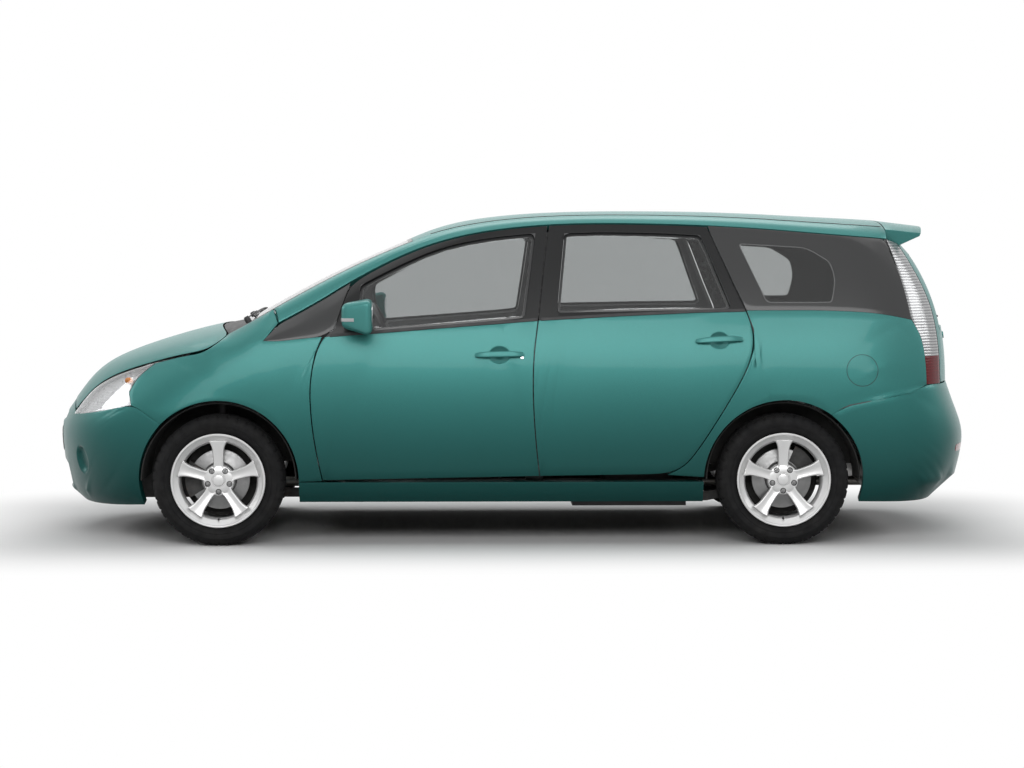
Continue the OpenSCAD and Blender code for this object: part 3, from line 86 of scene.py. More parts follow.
# ---------------------------------------------------------------- node helpers
class Shader:
    """A node material with one Principled shader and short ways to feed it."""

    def __init__(self, name):
        self.material = bpy.data.materials.new(name)
        self.material.use_nodes = True
        self.tree = self.material.node_tree
        self.tree.nodes.clear()
        self.out = self.tree.nodes.new("ShaderNodeOutputMaterial")
        self.main = self.tree.nodes.new("ShaderNodeBsdfPrincipled")
        self.link(self.main.outputs[0], self.out.inputs[0])

    def node(self, kind, **values):
        made = self.tree.nodes.new("ShaderNode" + kind)
        for key, value in values.items():
            setattr(made, key, value)
        return made

    def link(self, source, target):
        self.tree.links.new(source, target)

    def feed(self, target, value):
        if isinstance(value, bpy.types.NodeSocket):
            self.link(value, target)
        else:
            target.default_value = value

    def where(self):
        if not hasattr(self, "coordinates"):
            self.coordinates = self.node("TexCoord").outputs["Object"]
        return self.coordinates

    def axis(self, letter):
        if not hasattr(self, "split"):
            self.split = self.node("SeparateXYZ")
            self.link(self.where(), self.split.inputs[0])
        return self.split.outputs[letter]

    def noise(self, scale, detail=3.0, rough=0.5, stretch=None):
        made = self.node("TexNoise")
        made.inputs["Scale"].default_value = scale
        made.inputs["Detail"].default_value = detail
        made.inputs["Roughness"].default_value = rough
        self.feed(made.inputs["Vector"], self.stretched(stretch))
        return made.outputs["Fac"]

    def cells(self, scale, stretch=None, feature="F1", output="Distance"):
        made = self.node("TexVoronoi", feature=feature)
        made.inputs["Scale"].default_value = scale
        self.feed(made.inputs["Vector"], self.stretched(stretch))
        return made.outputs[output]

    def wave(self, scale, direction="X", distortion=0.0):
        made = self.node("TexWave", bands_direction=direction)
        made.inputs["Scale"].default_value = scale
        made.inputs["Distortion"].default_value = distortion
        self.feed(made.inputs["Vector"], self.where())
        return made.outputs["Fac"]

    def stretched(self, stretch):
        if stretch is None:
            return self.where()
        mapping = self.node("Mapping")
        mapping.inputs["Scale"].default_value = stretch
        self.link(self.where(), mapping.inputs["Vector"])
        return mapping.outputs[0]

    def maths(self, operation, a, b=0.0, c=None):
        made = self.node("Math", operation=operation)
        self.feed(made.inputs[0], a)
        self.feed(made.inputs[1], b)
        if c is not None:
            self.feed(made.inputs[2], c)
        return made.outputs[0]

    def span(self, value, low, high, to_low=0.0, to_high=1.0, smooth=False):
        made = self.node("MapRange")
        if smooth:
            made.interpolation_type = "SMOOTHSTEP"
        self.feed(made.inputs[0], value)
        for index, number in enumerate((low, high, to_low, to_high), 1):
            self.feed(made.inputs[index], number)
        return made.outputs[0]

    def blend(self, factor, a, b):
        made = self.node("Mix", data_type="RGBA")
        self.feed(made.inputs[0], factor)
        self.feed(made.inputs[6], (*a, 1) if isinstance(a, tuple) else a)
        self.feed(made.inputs[7], (*b, 1) if isinstance(b, tuple) else b)
        return made.outputs[2]

    def bump(self, height, strength, distance):
        made = self.node("Bump")
        made.inputs["Strength"].default_value = strength
        made.inputs["Distance"].default_value = distance
        self.link(height, made.inputs["Height"])
        if self.main.inputs["Normal"].is_linked:
            self.link(self.main.inputs["Normal"].links[0].from_socket, made.inputs["Normal"])
        self.link(made.outputs[0], self.main.inputs["Normal"])

    def set(self, **values):
        for key, value in values.items():
            name = key.replace("_", " ").title().replace("Ior", "IOR")
            if isinstance(value, tuple):
                value = (*value, 1) if len(value) == 3 else value
            self.feed(self.main.inputs[name], value)
        return self

    def sheer_shadow(self):
        """Light passes through the piece to what lies behind it."""
        clear = self.node("BsdfTransparent")
        path = self.node("LightPath")
        mix = self.node("MixShader")
        self.link(path.outputs["Is Shadow Ray"], mix.inputs[0])
        self.link(self.main.outputs[0], mix.inputs[1])
        self.link(clear.outputs[0], mix.inputs[2])
        self.link(mix.outputs[0], self.out.inputs[0])


def curve_socket(shader, value, points, low, high):
    """value, between low and high, sent through a smooth curve of (place, height) points from 0 to 1."""
    made = shader.node("FloatCurve")
    line = made.mapping.curves[0]
    shares = [((x - low) / (high - low), y) for x, y in points]
    line.points[0].location = shares[0]
    line.points[1].location = shares[-1]
    for share in shares[1:-1]:
        line.points.new(*share)
    made.mapping.update()
    shader.feed(made.inputs["Value"], shader.span(value, low, high))
    return made.outputs[0]


# ---------------------------------------------------------------- materials
TEAL = (0.030, 0.205, 0.190)
# The belt line: (x, z) along the bottom of the side windows, in metres.
BELT = [(-2.0, 1.128), (-1.906, 1.15), (-1.753, 1.168), (-1.517, 1.176), (-1.165, 1.175), (-0.918, 1.17),
        (-0.523, 1.152), (-0.124, 1.13), (0.28, 1.1), (0.705, 1.067), (0.961, 1.048), (1.246, 1.018)]
BELT_X, BELT_Z = zip(*BELT)


def belt(x):
    return float(np.interp(x, BELT_X, BELT_Z))



def paint_material(name="teal_paint", framed=False):
    """Metallic teal with fine flakes, darkened towards the sills by painted shade and paled towards the shoulders by a
    painted highlight; framed panels turn black above the belt.
    """
    s = Shader(name)
    flakes = s.cells(1500, output="Color")
    grain = s.node("SeparateColor")
    s.link(flakes, grain.inputs[0])
    sparkle = s.span(grain.outputs[0], 0, 1, 0.84, 1.18)
    drift = s.span(s.noise(0.9, 2), 0.3, 0.7, 0.96, 1.04)
    # Painted shade: the colour darkens smoothly with height, to a third at the sills, in place of the darker
    # reflections low on the body.
    depth = s.span(s.axis("Z"), 0.25, 1.08, 0.34, 1.06, smooth=True)
    tone = s.node("HueSaturation")
    s.feed(tone.inputs["Value"], s.maths("MULTIPLY", depth, s.maths("MULTIPLY", sparkle, drift)))
    # Painted highlight: the colour pales towards the shoulders and grows richer towards the sills, in place of whiter
    # reflections on upward-facing surfaces.
    s.feed(tone.inputs["Saturation"], s.span(s.axis("Z"), 0.3, 1.05, 1.1, 0.9))
    tone.inputs["Color"].default_value = (*TEAL, 1)
    colour, metal, rough = tone.outputs[0], 0.42, s.span(grain.outputs[1], 0, 1, 0.34, 0.46)
    if framed:
        line = curve_socket(s, s.axis("X"), [(x, (z - 1.0) / 0.2) for x, z in BELT], BELT_X[0], BELT_X[-1])
        above = s.maths("SUBTRACT", s.axis("Z"), s.maths("MULTIPLY_ADD", line, 0.2, 1.0))
        frame_side = s.span(above, -0.0055, -0.0045)
        colour = s.blend(frame_side, colour, (0.010, 0.0105, 0.011))
        metal = s.span(frame_side, 0, 1, 0.42, 0.0)
        rough = s.maths("MULTIPLY", rough, s.span(frame_side, 0, 1, 1.0, 0.8))
    s.set(base_color=colour, metallic=metal, roughness=rough, coat_weight=0.22, coat_roughness=0.06,
          coat_ior=1.4, specular_ior_level=0.2)
    s.bump(s.noise(260, 2), 0.02, 0.0005)
    return s.material


def black_gloss_material():
    s = Shader("black_gloss_frame")
    s.set(base_color=s.blend(s.noise(6, 4), (0.030, 0.031, 0.032), (0.044, 0.045, 0.046)),
          roughness=s.span(s.noise(40, 3), 0.3, 0.7, 0.25, 0.29), coat_weight=0.3, coat_roughness=0.08)
    s.bump(s.noise(300, 2), 0.02, 0.0004)
    return s.material


def plastic_material(name, dark, light, rough=0.55, grain=900, depth=0.00025, strength=0.35):
    """Moulded plastic with a fine leather-like grain and a little colour drift."""
    s = Shader(name)
    s.set(base_color=s.blend(s.noise(5, 4), dark, light),
          roughness=s.span(s.noise(22, 3), 0.3, 0.7, rough - 0.07, rough + 0.07))
    s.bump(s.cells(grain), strength, depth)
    s.bump(s.noise(9, 3), 0.05, 0.002)
    return s.material


def glass_material(name, tint, frit=None):
    """Sheet glass that darkens what is behind it, with a printed black border where frit is above zero."""
    s = Shader(name)
    tone = s.blend(s.noise(1.5, 2), tint, tuple(c * 0.97 for c in tint))
    if frit is None:
        s.set(base_color=tone, roughness=0.0, transmission_weight=1.0, ior=1.45)
    else:
        mask = frit(s)
        s.set(base_color=s.blend(mask, tone, (0.045, 0.046, 0.047)), ior=1.45,
              roughness=s.maths("MULTIPLY", mask, 0.2),
              transmission_weight=s.maths("SUBTRACT", 1.0, mask))
    s.sheer_shadow()
    return s.material


def border(width):
    """A printed border of this width, from the distance to the sheet's rim that edged() stores."""
    return lambda s: s.span(s.node("Attribute", attribute_name="rim").outputs["Fac"],
                            width, width + 0.0015, 1.0, 0.0)


def chrome_material():
    s = Shader("bright_reflector")
    s.set(base_color=s.blend(s.noise(30, 2), (0.82, 0.83, 0.84), (0.9, 0.9, 0.9)), metallic=1.0,
          roughness=s.span(s.noise(60, 3), 0.3, 0.7, 0.08, 0.16))
    s.bump(s.wave(60, "Z"), 0.06, 0.0006)
    return s.material


def alloy_material():
    s = Shader("wheel_alloy")
    flakes = s.cells(1800, output="Color")
    grain = s.node("SeparateColor")
    s.link(flakes, grain.inputs[0])
    s.set(base_color=s.blend(grain.outputs[0], (0.66, 0.66, 0.66), (0.76, 0.76, 0.755)), metallic=0.55,
          roughness=s.span(s.noise(45, 4), 0.3, 0.7, 0.3, 0.42), coat_weight=0.6, coat_roughness=0.1)
    s.bump(s.noise(420, 2), 0.05, 0.0004)
    return s.material


def rubber_material():
    s = Shader("tyre_rubber")
    dust = s.span(s.noise(7, 5, 0.65), 0.45, 0.8, 0, 1)
    s.set(base_color=s.blend(dust, (0.006, 0.006, 0.0065), (0.014, 0.0135, 0.013)),
          roughness=s.span(s.noise(30, 4), 0.3, 0.7, 0.7, 0.86), specular_ior_level=0.25)
    s.bump(s.noise(500, 3), 0.25, 0.0005)
    return s.material


def metal_material(name, dark, light, rough, metallic=0.9, rust=0.0):
    """Cast or pressed steel, with a film of rust where rust is above zero."""
    s = Shader(name)
    tone = s.blend(s.noise(14, 5, 0.6), dark, light)
    if rust:
        patches = s.span(s.noise(9, 6, 0.7), 0.55, 0.7, 0, rust, smooth=True)
        tone = s.blend(patches, tone, (0.12, 0.055, 0.028))
        s.set(metallic=s.span(patches, 0, 1, metallic, 0.1))
    else:
        s.set(metallic=metallic)
    s.set(base_color=tone, roughness=s.span(s.noise(60, 4), 0.3, 0.7, rough - 0.08, rough + 0.1))
    s.bump(s.noise(260, 4), 0.2, 0.0006)
    return s.material


def fabric_material(name, dark, light, weave=900, ribs=None):
    """Woven cloth: two crossed threads, slubs and a soft nap."""
    s = Shader(name)
    across = s.wave(weave / 6.3, "X", 1.0)
    along = s.wave(weave / 6.3, "Z", 1.0)
    thread = s.maths("MAXIMUM", across, along)
    fleck = s.noise(weave * 0.4, 4, 0.7)
    tone = s.blend(s.maths("MULTIPLY", thread, fleck), dark, light)
    s.set(base_color=tone, roughness=s.span(fleck, 0.3, 0.7, 0.82, 0.95), sheen_weight=0.25,
          sheen_roughness=0.5)
    s.bump(thread, 0.22, 0.0003)
    s.bump(s.noise(18, 4), 0.3, 0.003)
    if ribs:
        s.bump(s.wave(ribs, "Y"), 0.5, 0.004)
    return s.material


def glow_plastic_material(name, low, high, rough=0.08, metallic=0.0):
    """Clear-coloured lamp plastic with moulded ribs."""
    s = Shader(name)
    s.set(base_color=s.blend(s.noise(12, 3), low, high), roughness=s.span(s.noise(40, 3), 0.3, 0.7, rough, rough + 0.08),
          metallic=metallic, coat_weight=0.3, coat_roughness=0.05)
    s.bump(s.wave(26, "Z"), 0.2, 0.002)
    return s.material


MATERIALS = {
    "paint": paint_material(),
    "framed_paint": paint_material("framed_paint", True),
    "black": black_gloss_material(),
    "trim": plastic_material("dark_trim", (0.014, 0.014, 0.015), (0.022, 0.022, 0.023)),
    "weatherstrip": plastic_material("weatherstrip", (0.006, 0.006, 0.006), (0.012, 0.012, 0.012), 0.75, 300),
    "cabin": plastic_material("cabin_trim", (0.055, 0.056, 0.058), (0.075, 0.076, 0.078), 0.62, 700),
    "cabin_dark": plastic_material("cabin_trim_dark", (0.02, 0.02, 0.021), (0.03, 0.03, 0.031), 0.6, 700),
    "headliner": fabric_material("headliner", (0.32, 0.32, 0.31), (0.37, 0.37, 0.355), 1400),
    "carpet": fabric_material("carpet", (0.024, 0.024, 0.025), (0.04, 0.04, 0.042), 900),
    "seat": fabric_material("seat_cloth", (0.085, 0.088, 0.092), (0.12, 0.125, 0.13), 1500),
    "underbody": plastic_material("underbody", (0.012, 0.012, 0.012), (0.028, 0.027, 0.025), 0.85, 60, 0.002, 0.3),
    "glass": glass_material("window_glass", (0.55, 0.565, 0.565), border(0.012)),
    "screen": glass_material("windscreen_glass", (0.86, 0.88, 0.88), border(0.022)),
    "lens": glass_material("lamp_lens", (0.97, 0.975, 0.98)),
    "chrome": chrome_material(),
    "alloy": alloy_material(),
    "rubber": rubber_material(),
    "disc": metal_material("brake_disc", (0.16, 0.16, 0.16), (0.30, 0.30, 0.30), 0.35),
    "cast": metal_material("cast_iron", (0.035, 0.035, 0.036), (0.075, 0.074, 0.072), 0.6, 0.7, 0.5),
    "steel": metal_material("exhaust_steel", (0.22, 0.21, 0.2), (0.36, 0.35, 0.33), 0.38, 0.9, 0.6),
    "tank": plastic_material("tank_plastic", (0.016, 0.016, 0.017), (0.03, 0.03, 0.03), 0.6, 120, 0.001),
    "red": glow_plastic_material("red_lens", (0.16, 0.002, 0.005), (0.24, 0.004, 0.009), 0.16),
    "amber": glow_plastic_material("amber_lens", (0.55, 0.16, 0.01), (0.75, 0.26, 0.02)),
    "lamp_body": glow_plastic_material("lamp_body", (0.26, 0.265, 0.27), (0.42, 0.425, 0.43), 0.25, 0.5),
    "plate": plastic_material("plate_white", (0.62, 0.62, 0.60), (0.70, 0.70, 0.68), 0.4, 200, 0.0001, 0.1),
    "mirror": metal_material("mirror_silver", (0.75, 0.76, 0.77), (0.8, 0.81, 0.82), 0.1, 1.0),
    "leather": plastic_material("wheel_leather", (0.016, 0.016, 0.017), (0.03, 0.03, 0.031), 0.5, 520, 0.0006, 0.5),
}


# ---------------------------------------------------------------- mesh helpers
def piece(name, mesh, body, materials, replaced=(), smooth_angle=38):
    """A finished mesh object that rides on a body and wears the listed materials."""
    made = bpy.data.objects.new(name, mesh)
    bpy.context.scene.collection.objects.link(made)
    mesh.materials.clear()
    for key in materials:
        mesh.materials.append(MATERIALS[key])
    mesh.shade_smooth()
    if smooth_angle < 180:
        mesh.set_sharp_from_angle(angle=math.radians(smooth_angle))
    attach(made, body)
    if replaced:
        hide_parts(*replaced)
    return made


def applied(made):
    """The object with its modifiers applied to its mesh."""
    bpy.context.view_layer.update()
    shown = made.evaluated_get(bpy.context.evaluated_depsgraph_get())
    mesh = bpy.data.meshes.new_from_object(shown)
    made.modifiers.clear()
    made.data = mesh
    return made


def mesh_from(points, faces, name="mesh"):
    mesh = bpy.data.meshes.new(name)
    mesh.from_pydata([tuple(p) for p in points], [], faces)
    mesh.validate()
    mesh.update()
    return mesh


def body_of(node):
    return NODES[node]["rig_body"]


def refined_mesh(node, level=2, crease_angle=32, edge=0.0016, keep=None):
    """A smooth copy of a CAD node: its cage welded, sharp edges creased, subdivided and broken."""
    mesh = NODES[node].data.copy()
    mesh.materials.clear()
    cage = bmesh.new()
    cage.from_mesh(mesh)
    bmesh.ops.remove_doubles(cage, verts=cage.verts[:], dist=3e-5)
    bmesh.ops.dissolve_degenerate(cage, edges=cage.edges[:], dist=2e-5)
    bmesh.ops.join_triangles(cage, faces=cage.faces[:], angle_face_threshold=math.radians(14),
                             angle_shape_threshold=math.radians(75))
    if keep is not None:
        bmesh.ops.delete(cage, geom=[v for v in cage.verts if not keep(v.co)], context="VERTS")
    crease = cage.edges.layers.float.new("crease_edge")
    for line in cage.edges:
        if len(line.link_faces) != 2 or line.calc_face_angle(0) > math.radians(crease_angle):
            line[crease] = 1.0
    cage.to_mesh(mesh)
    cage.free()
    holder = bpy.data.objects.new("holder", mesh)
    bpy.context.scene.collection.objects.link(holder)
    if level:
        divide = holder.modifiers.new("divide", "SUBSURF")
        divide.levels = level
        divide.render_levels = level
    if edge:
        broken = holder.modifiers.new("broken_edge", "BEVEL")
        broken.width = edge
        broken.segments = 2
        broken.limit_method = "ANGLE"
        broken.angle_limit = math.radians(42)
    applied(holder)
    made = holder.data
    bpy.data.objects.remove(holder)
    return made


def panel(node, materials, rule=None, level=2, edge=0.0016, crease_angle=32, name=None):
    """A smooth stand-in for a CAD panel; rule gives each face's material from its middle and normal."""
    mesh = refined_mesh(node, level, crease_angle, edge)
    made = piece(name or node + "_skin", mesh, body_of(node), materials, (node,))
    if rule:
        for face in mesh.polygons:
            face.material_index = rule(face.center, face.normal)
    return made


def edged(made, node):
    """Store each point's distance from the sharp rim of its CAD sheet, for a printed border."""
    cage = bmesh.new()
    cage.from_mesh(NODES[node].data)
    bmesh.ops.remove_doubles(cage, verts=cage.verts[:], dist=3e-5)
    marks = []
    for line in cage.edges:
        if len(line.link_faces) == 2 and line.calc_face_angle(0) > math.radians(50):
            a, b = (v.co for v in line.verts)
            steps = max(1, math.ceil((b - a).length / 0.006))
            marks += [a.lerp(b, k / steps) for k in range(steps)]
    cage.free()
    tree = KDTree(len(marks))
    for index, mark in enumerate(marks):
        tree.insert(mark, index)
    tree.balance()
    rim = made.data.attributes.new("rim", "FLOAT", "POINT")
    rim.data.foreach_set("value", [tree.find(v.co)[2] for v in made.data.vertices])


def surface_of(made):
    """A way to find the outside of a piece from a point and a direction."""
    tree = BVHTree.FromPolygons([v.co.copy() for v in made.data.vertices],
                                [tuple(p.vertices) for p in made.data.polygons])

    def hit(start, direction):
        place, normal, _, _ = tree.ray_cast(Vector(start), Vector(direction))
        return (place, normal) if place is not None else None
    return hit


def from_side(hit, x, z, side):
    """The point and normal of the side of the car at x, z."""
    found = hit((x, side * 1.4, z), (0, -side, 0))
    return found


def smooth_line(points, steps):
    """A Catmull-Rom line through points, with the given steps between each two."""
    p = [Vector(q) for q in points]
    p = [p[0] * 2 - p[1]] + p + [p[-1] * 2 - p[-2]]
    line = []
    for i in range(1, len(p) - 2):
        for k in range(steps):
            t = k / steps
            line.append(0.5 * (2 * p[i] + (p[i + 1] - p[i - 1]) * t
                               + (2 * p[i - 1] - 5 * p[i] + 4 * p[i + 1] - p[i + 2]) * t * t
                               + (3 * p[i] - p[i - 1] - 3 * p[i + 1] + p[i + 2]) * t ** 3))
    line.append(p[-2])
    return line


def sweep(line, section, normals, closed=False, caps=True):
    """A mesh that carries a section of (across, up) points along a line; up is each point's normal."""
    points, faces = [], []
    count = len(line)
    n = len(section)
    for i, at in enumerate(line):
        if closed:
            along = line[(i + 1) % count] - line[i - 1]
        else:
            along = line[min(i + 1, count - 1)] - line[max(i - 1, 0)]
        along.normalize()
        up = (normals[i] - along * normals[i].dot(along)).normalized()
        out = along.cross(up)
        points += [at + out * a + up * b for a, b in section]
    rings = count if closed else count - 1
    for i in range(rings):
        for j in range(n):
            a, b = i * n + j, i * n + (j + 1) % n
            c, d = ((i + 1) % count) * n + (j + 1) % n, ((i + 1) % count) * n + j
            faces.append((a, d, c, b))
    if caps and not closed:
        faces.append(tuple(range(n)))
        faces.append(tuple(range((count - 1) * n + n - 1, (count - 1) * n - 1, -1)))
    return mesh_from(points, faces)


def lathe(profile, steps, axis_y=True, wobble=None):
    """A closed ring of revolution about Y from (radius, along) points."""
    points, faces = [], []
    n = len(profile)
    for i in range(steps):
        a = 2 * math.pi * i / steps
        for j, (r, y) in enumerate(profile):
            radius = r + (wobble(i, j) if wobble else 0)
            points.append((radius * math.cos(a), y, radius * math.sin(a)))
    for i in range(steps):
        k = (i + 1) % steps
        for j in range(n):
            m = (j + 1) % n
            faces.append((i * n + j, i * n + m, k * n + m, k * n + j))
    return points, faces


def rounded_section(w, h, corner, steps=3):
    """A rounded rectangle w wide and h high about its middle."""
    made = []
    for cx, cy, start in ((1, 1, 0), (-1, 1, 90), (-1, -1, 180), (1, -1, 270)):
        for k in range(steps + 1):
            a = math.radians(start + 90 * k / steps)
            made.append((cx * (w / 2 - corner) + corner * math.cos(a), cy * (h / 2 - corner) + corner * math.sin(a)))
    return made


# ---------------------------------------------------------------- stage and light
FLOOR_FADE = (0.05, 1.15)   # where the lit floor turns to plain white, from the car's footprint
FOOTPRINT = (2.25, 0.80)    # half length and half width of the ground that the car covers


def seen_directly(shader):
    """1 for rays that show the background itself: from the camera, in gloss, or through glass."""
    path = shader.node("LightPath")
    sharp = shader.maths("MAXIMUM", path.outputs["Is Camera Ray"], path.outputs["Is Glossy Ray"])
    return shader.maths("MAXIMUM", sharp, path.outputs["Is Transmission Ray"])


def floor_material():
    """Pale floor that takes the car's shadow and fades into the white background."""
    s = Shader("studio_floor")
    direct = seen_directly(s)
    pale = s.blend(s.noise(3, 2), (0.87, 0.87, 0.87), (0.89, 0.89, 0.89))
    s.set(base_color=s.blend(direct, (0.26, 0.26, 0.26), pale), roughness=0.95, specular_ior_level=0.0)
    away = []
    for letter, half in zip("XY", FOOTPRINT):
        beyond = s.maths("SUBTRACT", s.maths("ABSOLUTE", s.axis(letter)), half)
        away.append(s.maths("MAXIMUM", beyond, 0.0))
    reach = s.maths("SQRT", s.maths("ADD", *(s.maths("MULTIPLY", d, d) for d in away)))
    fade = s.span(reach, *FLOOR_FADE, smooth=True)
    white = s.node("Emission")
    mix = s.node("MixShader")
    s.link(s.maths("MULTIPLY", fade, direct), mix.inputs[0])
    s.link(s.main.outputs[0], mix.inputs[1])
    s.link(white.outputs[0], mix.inputs[2])
    s.link(mix.outputs[0], s.out.inputs[0])
    return s.material


def build_stage():
    mesh = mesh_from([(-30, -30, 0), (30, -30, 0), (30, 30, 0), (-30, 30, 0)], [(0, 1, 2, 3)])
    floor = bpy.data.objects.new("studio_floor", mesh)
    bpy.context.scene.collection.objects.link(floor)
    mesh.materials.append(floor_material())
    world = bpy.data.worlds.new("studio")
    bpy.context.scene.world = world
    world.use_nodes = True
    tree = world.node_tree
    tree.nodes.clear()
    out = tree.nodes.new("ShaderNodeOutputWorld")
    lit = tree.nodes.new("ShaderNodeBackground")
    lit.inputs["Color"].default_value = (1, 1, 1, 1)
    lit.inputs["Strength"].default_value = 0.13
    plain = tree.nodes.new("ShaderNodeBackground")
    plain.inputs["Strength"].default_value = 1.0
    plain.inputs["Color"].default_value = (1, 1, 1, 1)
    path = tree.nodes.new("ShaderNodeLightPath")
    most = None
    for name in ("Is Camera Ray", "Is Glossy Ray", "Is Transmission Ray"):
        if most is None:
            most = path.outputs[name]
            continue
        larger = tree.nodes.new("ShaderNodeMath")
        larger.operation = "MAXIMUM"
        tree.links.new(most, larger.inputs[0])
        tree.links.new(path.outputs[name], larger.inputs[1])
        most = larger.outputs[0]
    mix = tree.nodes.new("ShaderNodeMixShader")
    tree.links.new(most, mix.inputs[0])
    tree.links.new(lit.outputs[0], mix.inputs[1])
    tree.links.new(plain.outputs[0], mix.inputs[2])
    tree.links.new(mix.outputs[0], out.inputs[0])
    softboxes = (("overhead", (0, 0, 6.5), (0, 0, 0), (11.0, 6.0), 150),
                 ("left_box", (0.3, 8.0, 4.1), (0, 0, 0.8), (9.0, 3.0), 330),
                 ("right_box", (0.3, -4.5, 6.5), (0, 0, 0.8), (8.0, 3.0), 150),
                 ("front_box", (8.0, 0, 4.2), (0, 0, 0.7), (4.0, 3.0), 130),
                 ("rear_box", (-8.0, 0, 4.2), (0, 0, 0.7), (4.0, 3.0), 130))
    for name, at, target, size, power in softboxes:
        data = bpy.data.lights.new(name, "AREA")
        data.shape = "RECTANGLE"
        data.size, data.size_y = size
        data.energy = power
        lamp = bpy.data.objects.new(name, data)
        lamp.location = at
        turn = (Vector(target) - Vector(at)).to_track_quat("-Z", "Y")
        lamp.rotation_euler = turn.to_euler()
        bpy.context.scene.collection.objects.link(lamp)


build_stage()

# ---------------------------------------------------------------- body panels
def build_panels():
    """The painted and glazed skins, each a smooth form of its CAD node."""
    made = {}
    for node in ("front_fenders", "front_bumper", "rear_bumper"):
        made[node] = panel(node, ["paint", "trim"], rule=lambda c, n: 0)
    made["bonnet"] = panel("bonnet", ["paint", "trim"], rule=lambda c, n: 1 if n.z < -0.2 and n.x < 0.3 else 0)
    made["cowl_panel"] = panel("cowl_panel", ["trim"])
    made["roof_panel"] = panel("roof_panel", ["paint", "headliner"], rule=lambda c, n: 1 if n.z < -0.3 else 0)
    made["body_sides"] = panel("body_sides", ["paint", "cabin"],
                               rule=lambda c, n: 1 if n.y * c.y < -0.1 * abs(c.y) and c.z > 0.45 else 0)
    for where in SIDES:
        side = SIDES[where]
        for row in ("front", "rear"):
            node = f"{row}_door_{where}"

            made[node] = panel(node, ["framed_paint", "cabin"],
                               rule=lambda c, n, side=side: 1 if n.y * side < -0.25 else 0)
            glass = f"{row}_glass_{where}"
            made[glass] = panel(glass, ["glass"], edge=0.0006)
        made["mirror_" + where] = panel("mirror_" + where, ["paint", "trim"],
                                        rule=lambda c, n, side=side: 1 if c.y * side < 0.86 and n.z < 0.9 else 0)
    made["windscreen"] = panel("windscreen", ["screen"], edge=0.0006)
    made["side_glass"] = panel("side_glass", ["quarter"], edge=0.0006)
    made["tailgate"] = panel("tailgate", ["paint", "cabin"], rule=lambda c, n: 1 if n.x > 0.3 else 0)
    made["tailgate_glass"] = panel("tailgate_glass", ["glass"], edge=0.0006)
    made["grille"] = panel("grille", ["mesh"], level=1)
    for node in ("windscreen", "tailgate_glass", *(f"{row}_glass_{where}" for row in ("front", "rear")
                                                  for where in SIDES)):
        edged(made[node], node)
    return made


def quarter_frit(s):
    """Above zero outside the see-through areas of the fixed side windows."""
    x, z = s.axis("X"), s.axis("Z")

    def side_of(ax, az, bx, bz):
        """Distance of a point to the left of the line from a to b."""
        length = math.hypot(bx - ax, bz - az)
        nx, nz = -(bz - az) / length, (bx - ax) / length
        return s.maths("MULTIPLY_ADD", x, nx, s.maths("MULTIPLY_ADD", z, nz, -(ax * nx + az * nz)))

    def inside(corners):
        least = None
        for a, b in zip(corners, corners[1:] + corners[:1]):
            d = side_of(*a, *b)
            if least is None:
                least = d
            else:
                made = s.node("Math", operation="SMOOTH_MIN")
                s.feed(made.inputs[0], least)
                s.feed(made.inputs[1], d)
                made.inputs[2].default_value = 0.03
                least = made.outputs[0]
        return least
    quarter = inside([(-1.27, 1.212), (-1.135, 1.512), (-1.48, 1.492), (-1.60, 1.42), (-1.625, 1.33),
                      (-1.60, 1.212)])
    sail = inside([(0.86, 1.068), (1.215, 1.04), (1.03, 1.165), (0.885, 1.255)][::-1])
    both = s.maths("MAXIMUM", quarter, sail)
    return s.span(both, 0.0, 0.006, 1.0, 0.0)


def mesh_material():
    """Dark grille with level bars and finer upright ones; the gaps between the bars are painted near-black as painted
    shade for the openings.
    """
    s = Shader("grille_mesh")
    bars = s.maths("MAXIMUM", s.span(s.wave(9, "Z"), 0.45, 0.75), s.span(s.wave(14, "Y"), 0.75, 0.95))
    # Painted shade: between the bars the colour drops to near-black, in place of the shadowed openings behind the
    # grille.
    s.set(base_color=s.blend(bars, (0.002, 0.002, 0.002), (0.022, 0.022, 0.023)),
          roughness=s.span(s.noise(40, 3), 0.3, 0.7, 0.4, 0.55))
    s.bump(bars, 0.9, 0.006)
    return s.material


MATERIALS["mesh"] = mesh_material()
MATERIALS["quarter"] = glass_material("quarter_glass", (0.55, 0.565, 0.565), quarter_frit)
PANELS = build_panels()

# ---------------------------------------------------------------- wheels
TREAD_STEPS = 240


def tyre_mesh(radius, width, bead):
    """A road tyre: four ring grooves, cross cuts in its shoulders, and ribbed side walls."""
    half = width / 2
    profile = [(bead - 0.004, half - 0.036), (bead, half - 0.026), (bead + 0.012, half - 0.014),
               (bead + 0.03, half - 0.006), (bead + 0.036, half - 0.004), (bead + 0.038, half - 0.0056),
               (radius - 0.05, half - 0.001), (radius - 0.036, half - 0.001), (radius - 0.033, half - 0.0028),
               (radius - 0.022, half - 0.006), (radius - 0.012, half - 0.012), (radius - 0.005, half - 0.022)]
    lands = [(half - 0.030, half - 0.054), (half - 0.062, 0.010)]
    for a, b in lands:
        profile += [(radius - 0.0015 * (a / half) ** 2, a), (radius - 0.0012 * (b / half) ** 2, b)]
        profile += [(radius - 0.0085, b - 0.0012), (radius - 0.0085, b - 0.0068)]
    profile = profile + [(r, -y) for r, y in reversed(profile)]
    shoulder = {10, 11, 12, 13}
    count = len(profile)
    cut_points = shoulder | {count - 1 - k for k in shoulder}

    def wobble(i, j):
        if j in cut_points and i % 6 == 0:
            return -0.006
        if j in (7, count - 8) and i % 2:
            return 0.0006
        return 0
    points, faces = lathe(profile, TREAD_STEPS, wobble=wobble)
    return mesh_from(points, faces)


def smoothed_ring(profile, steps=96):
    return mesh_from(*lathe(profile, steps))


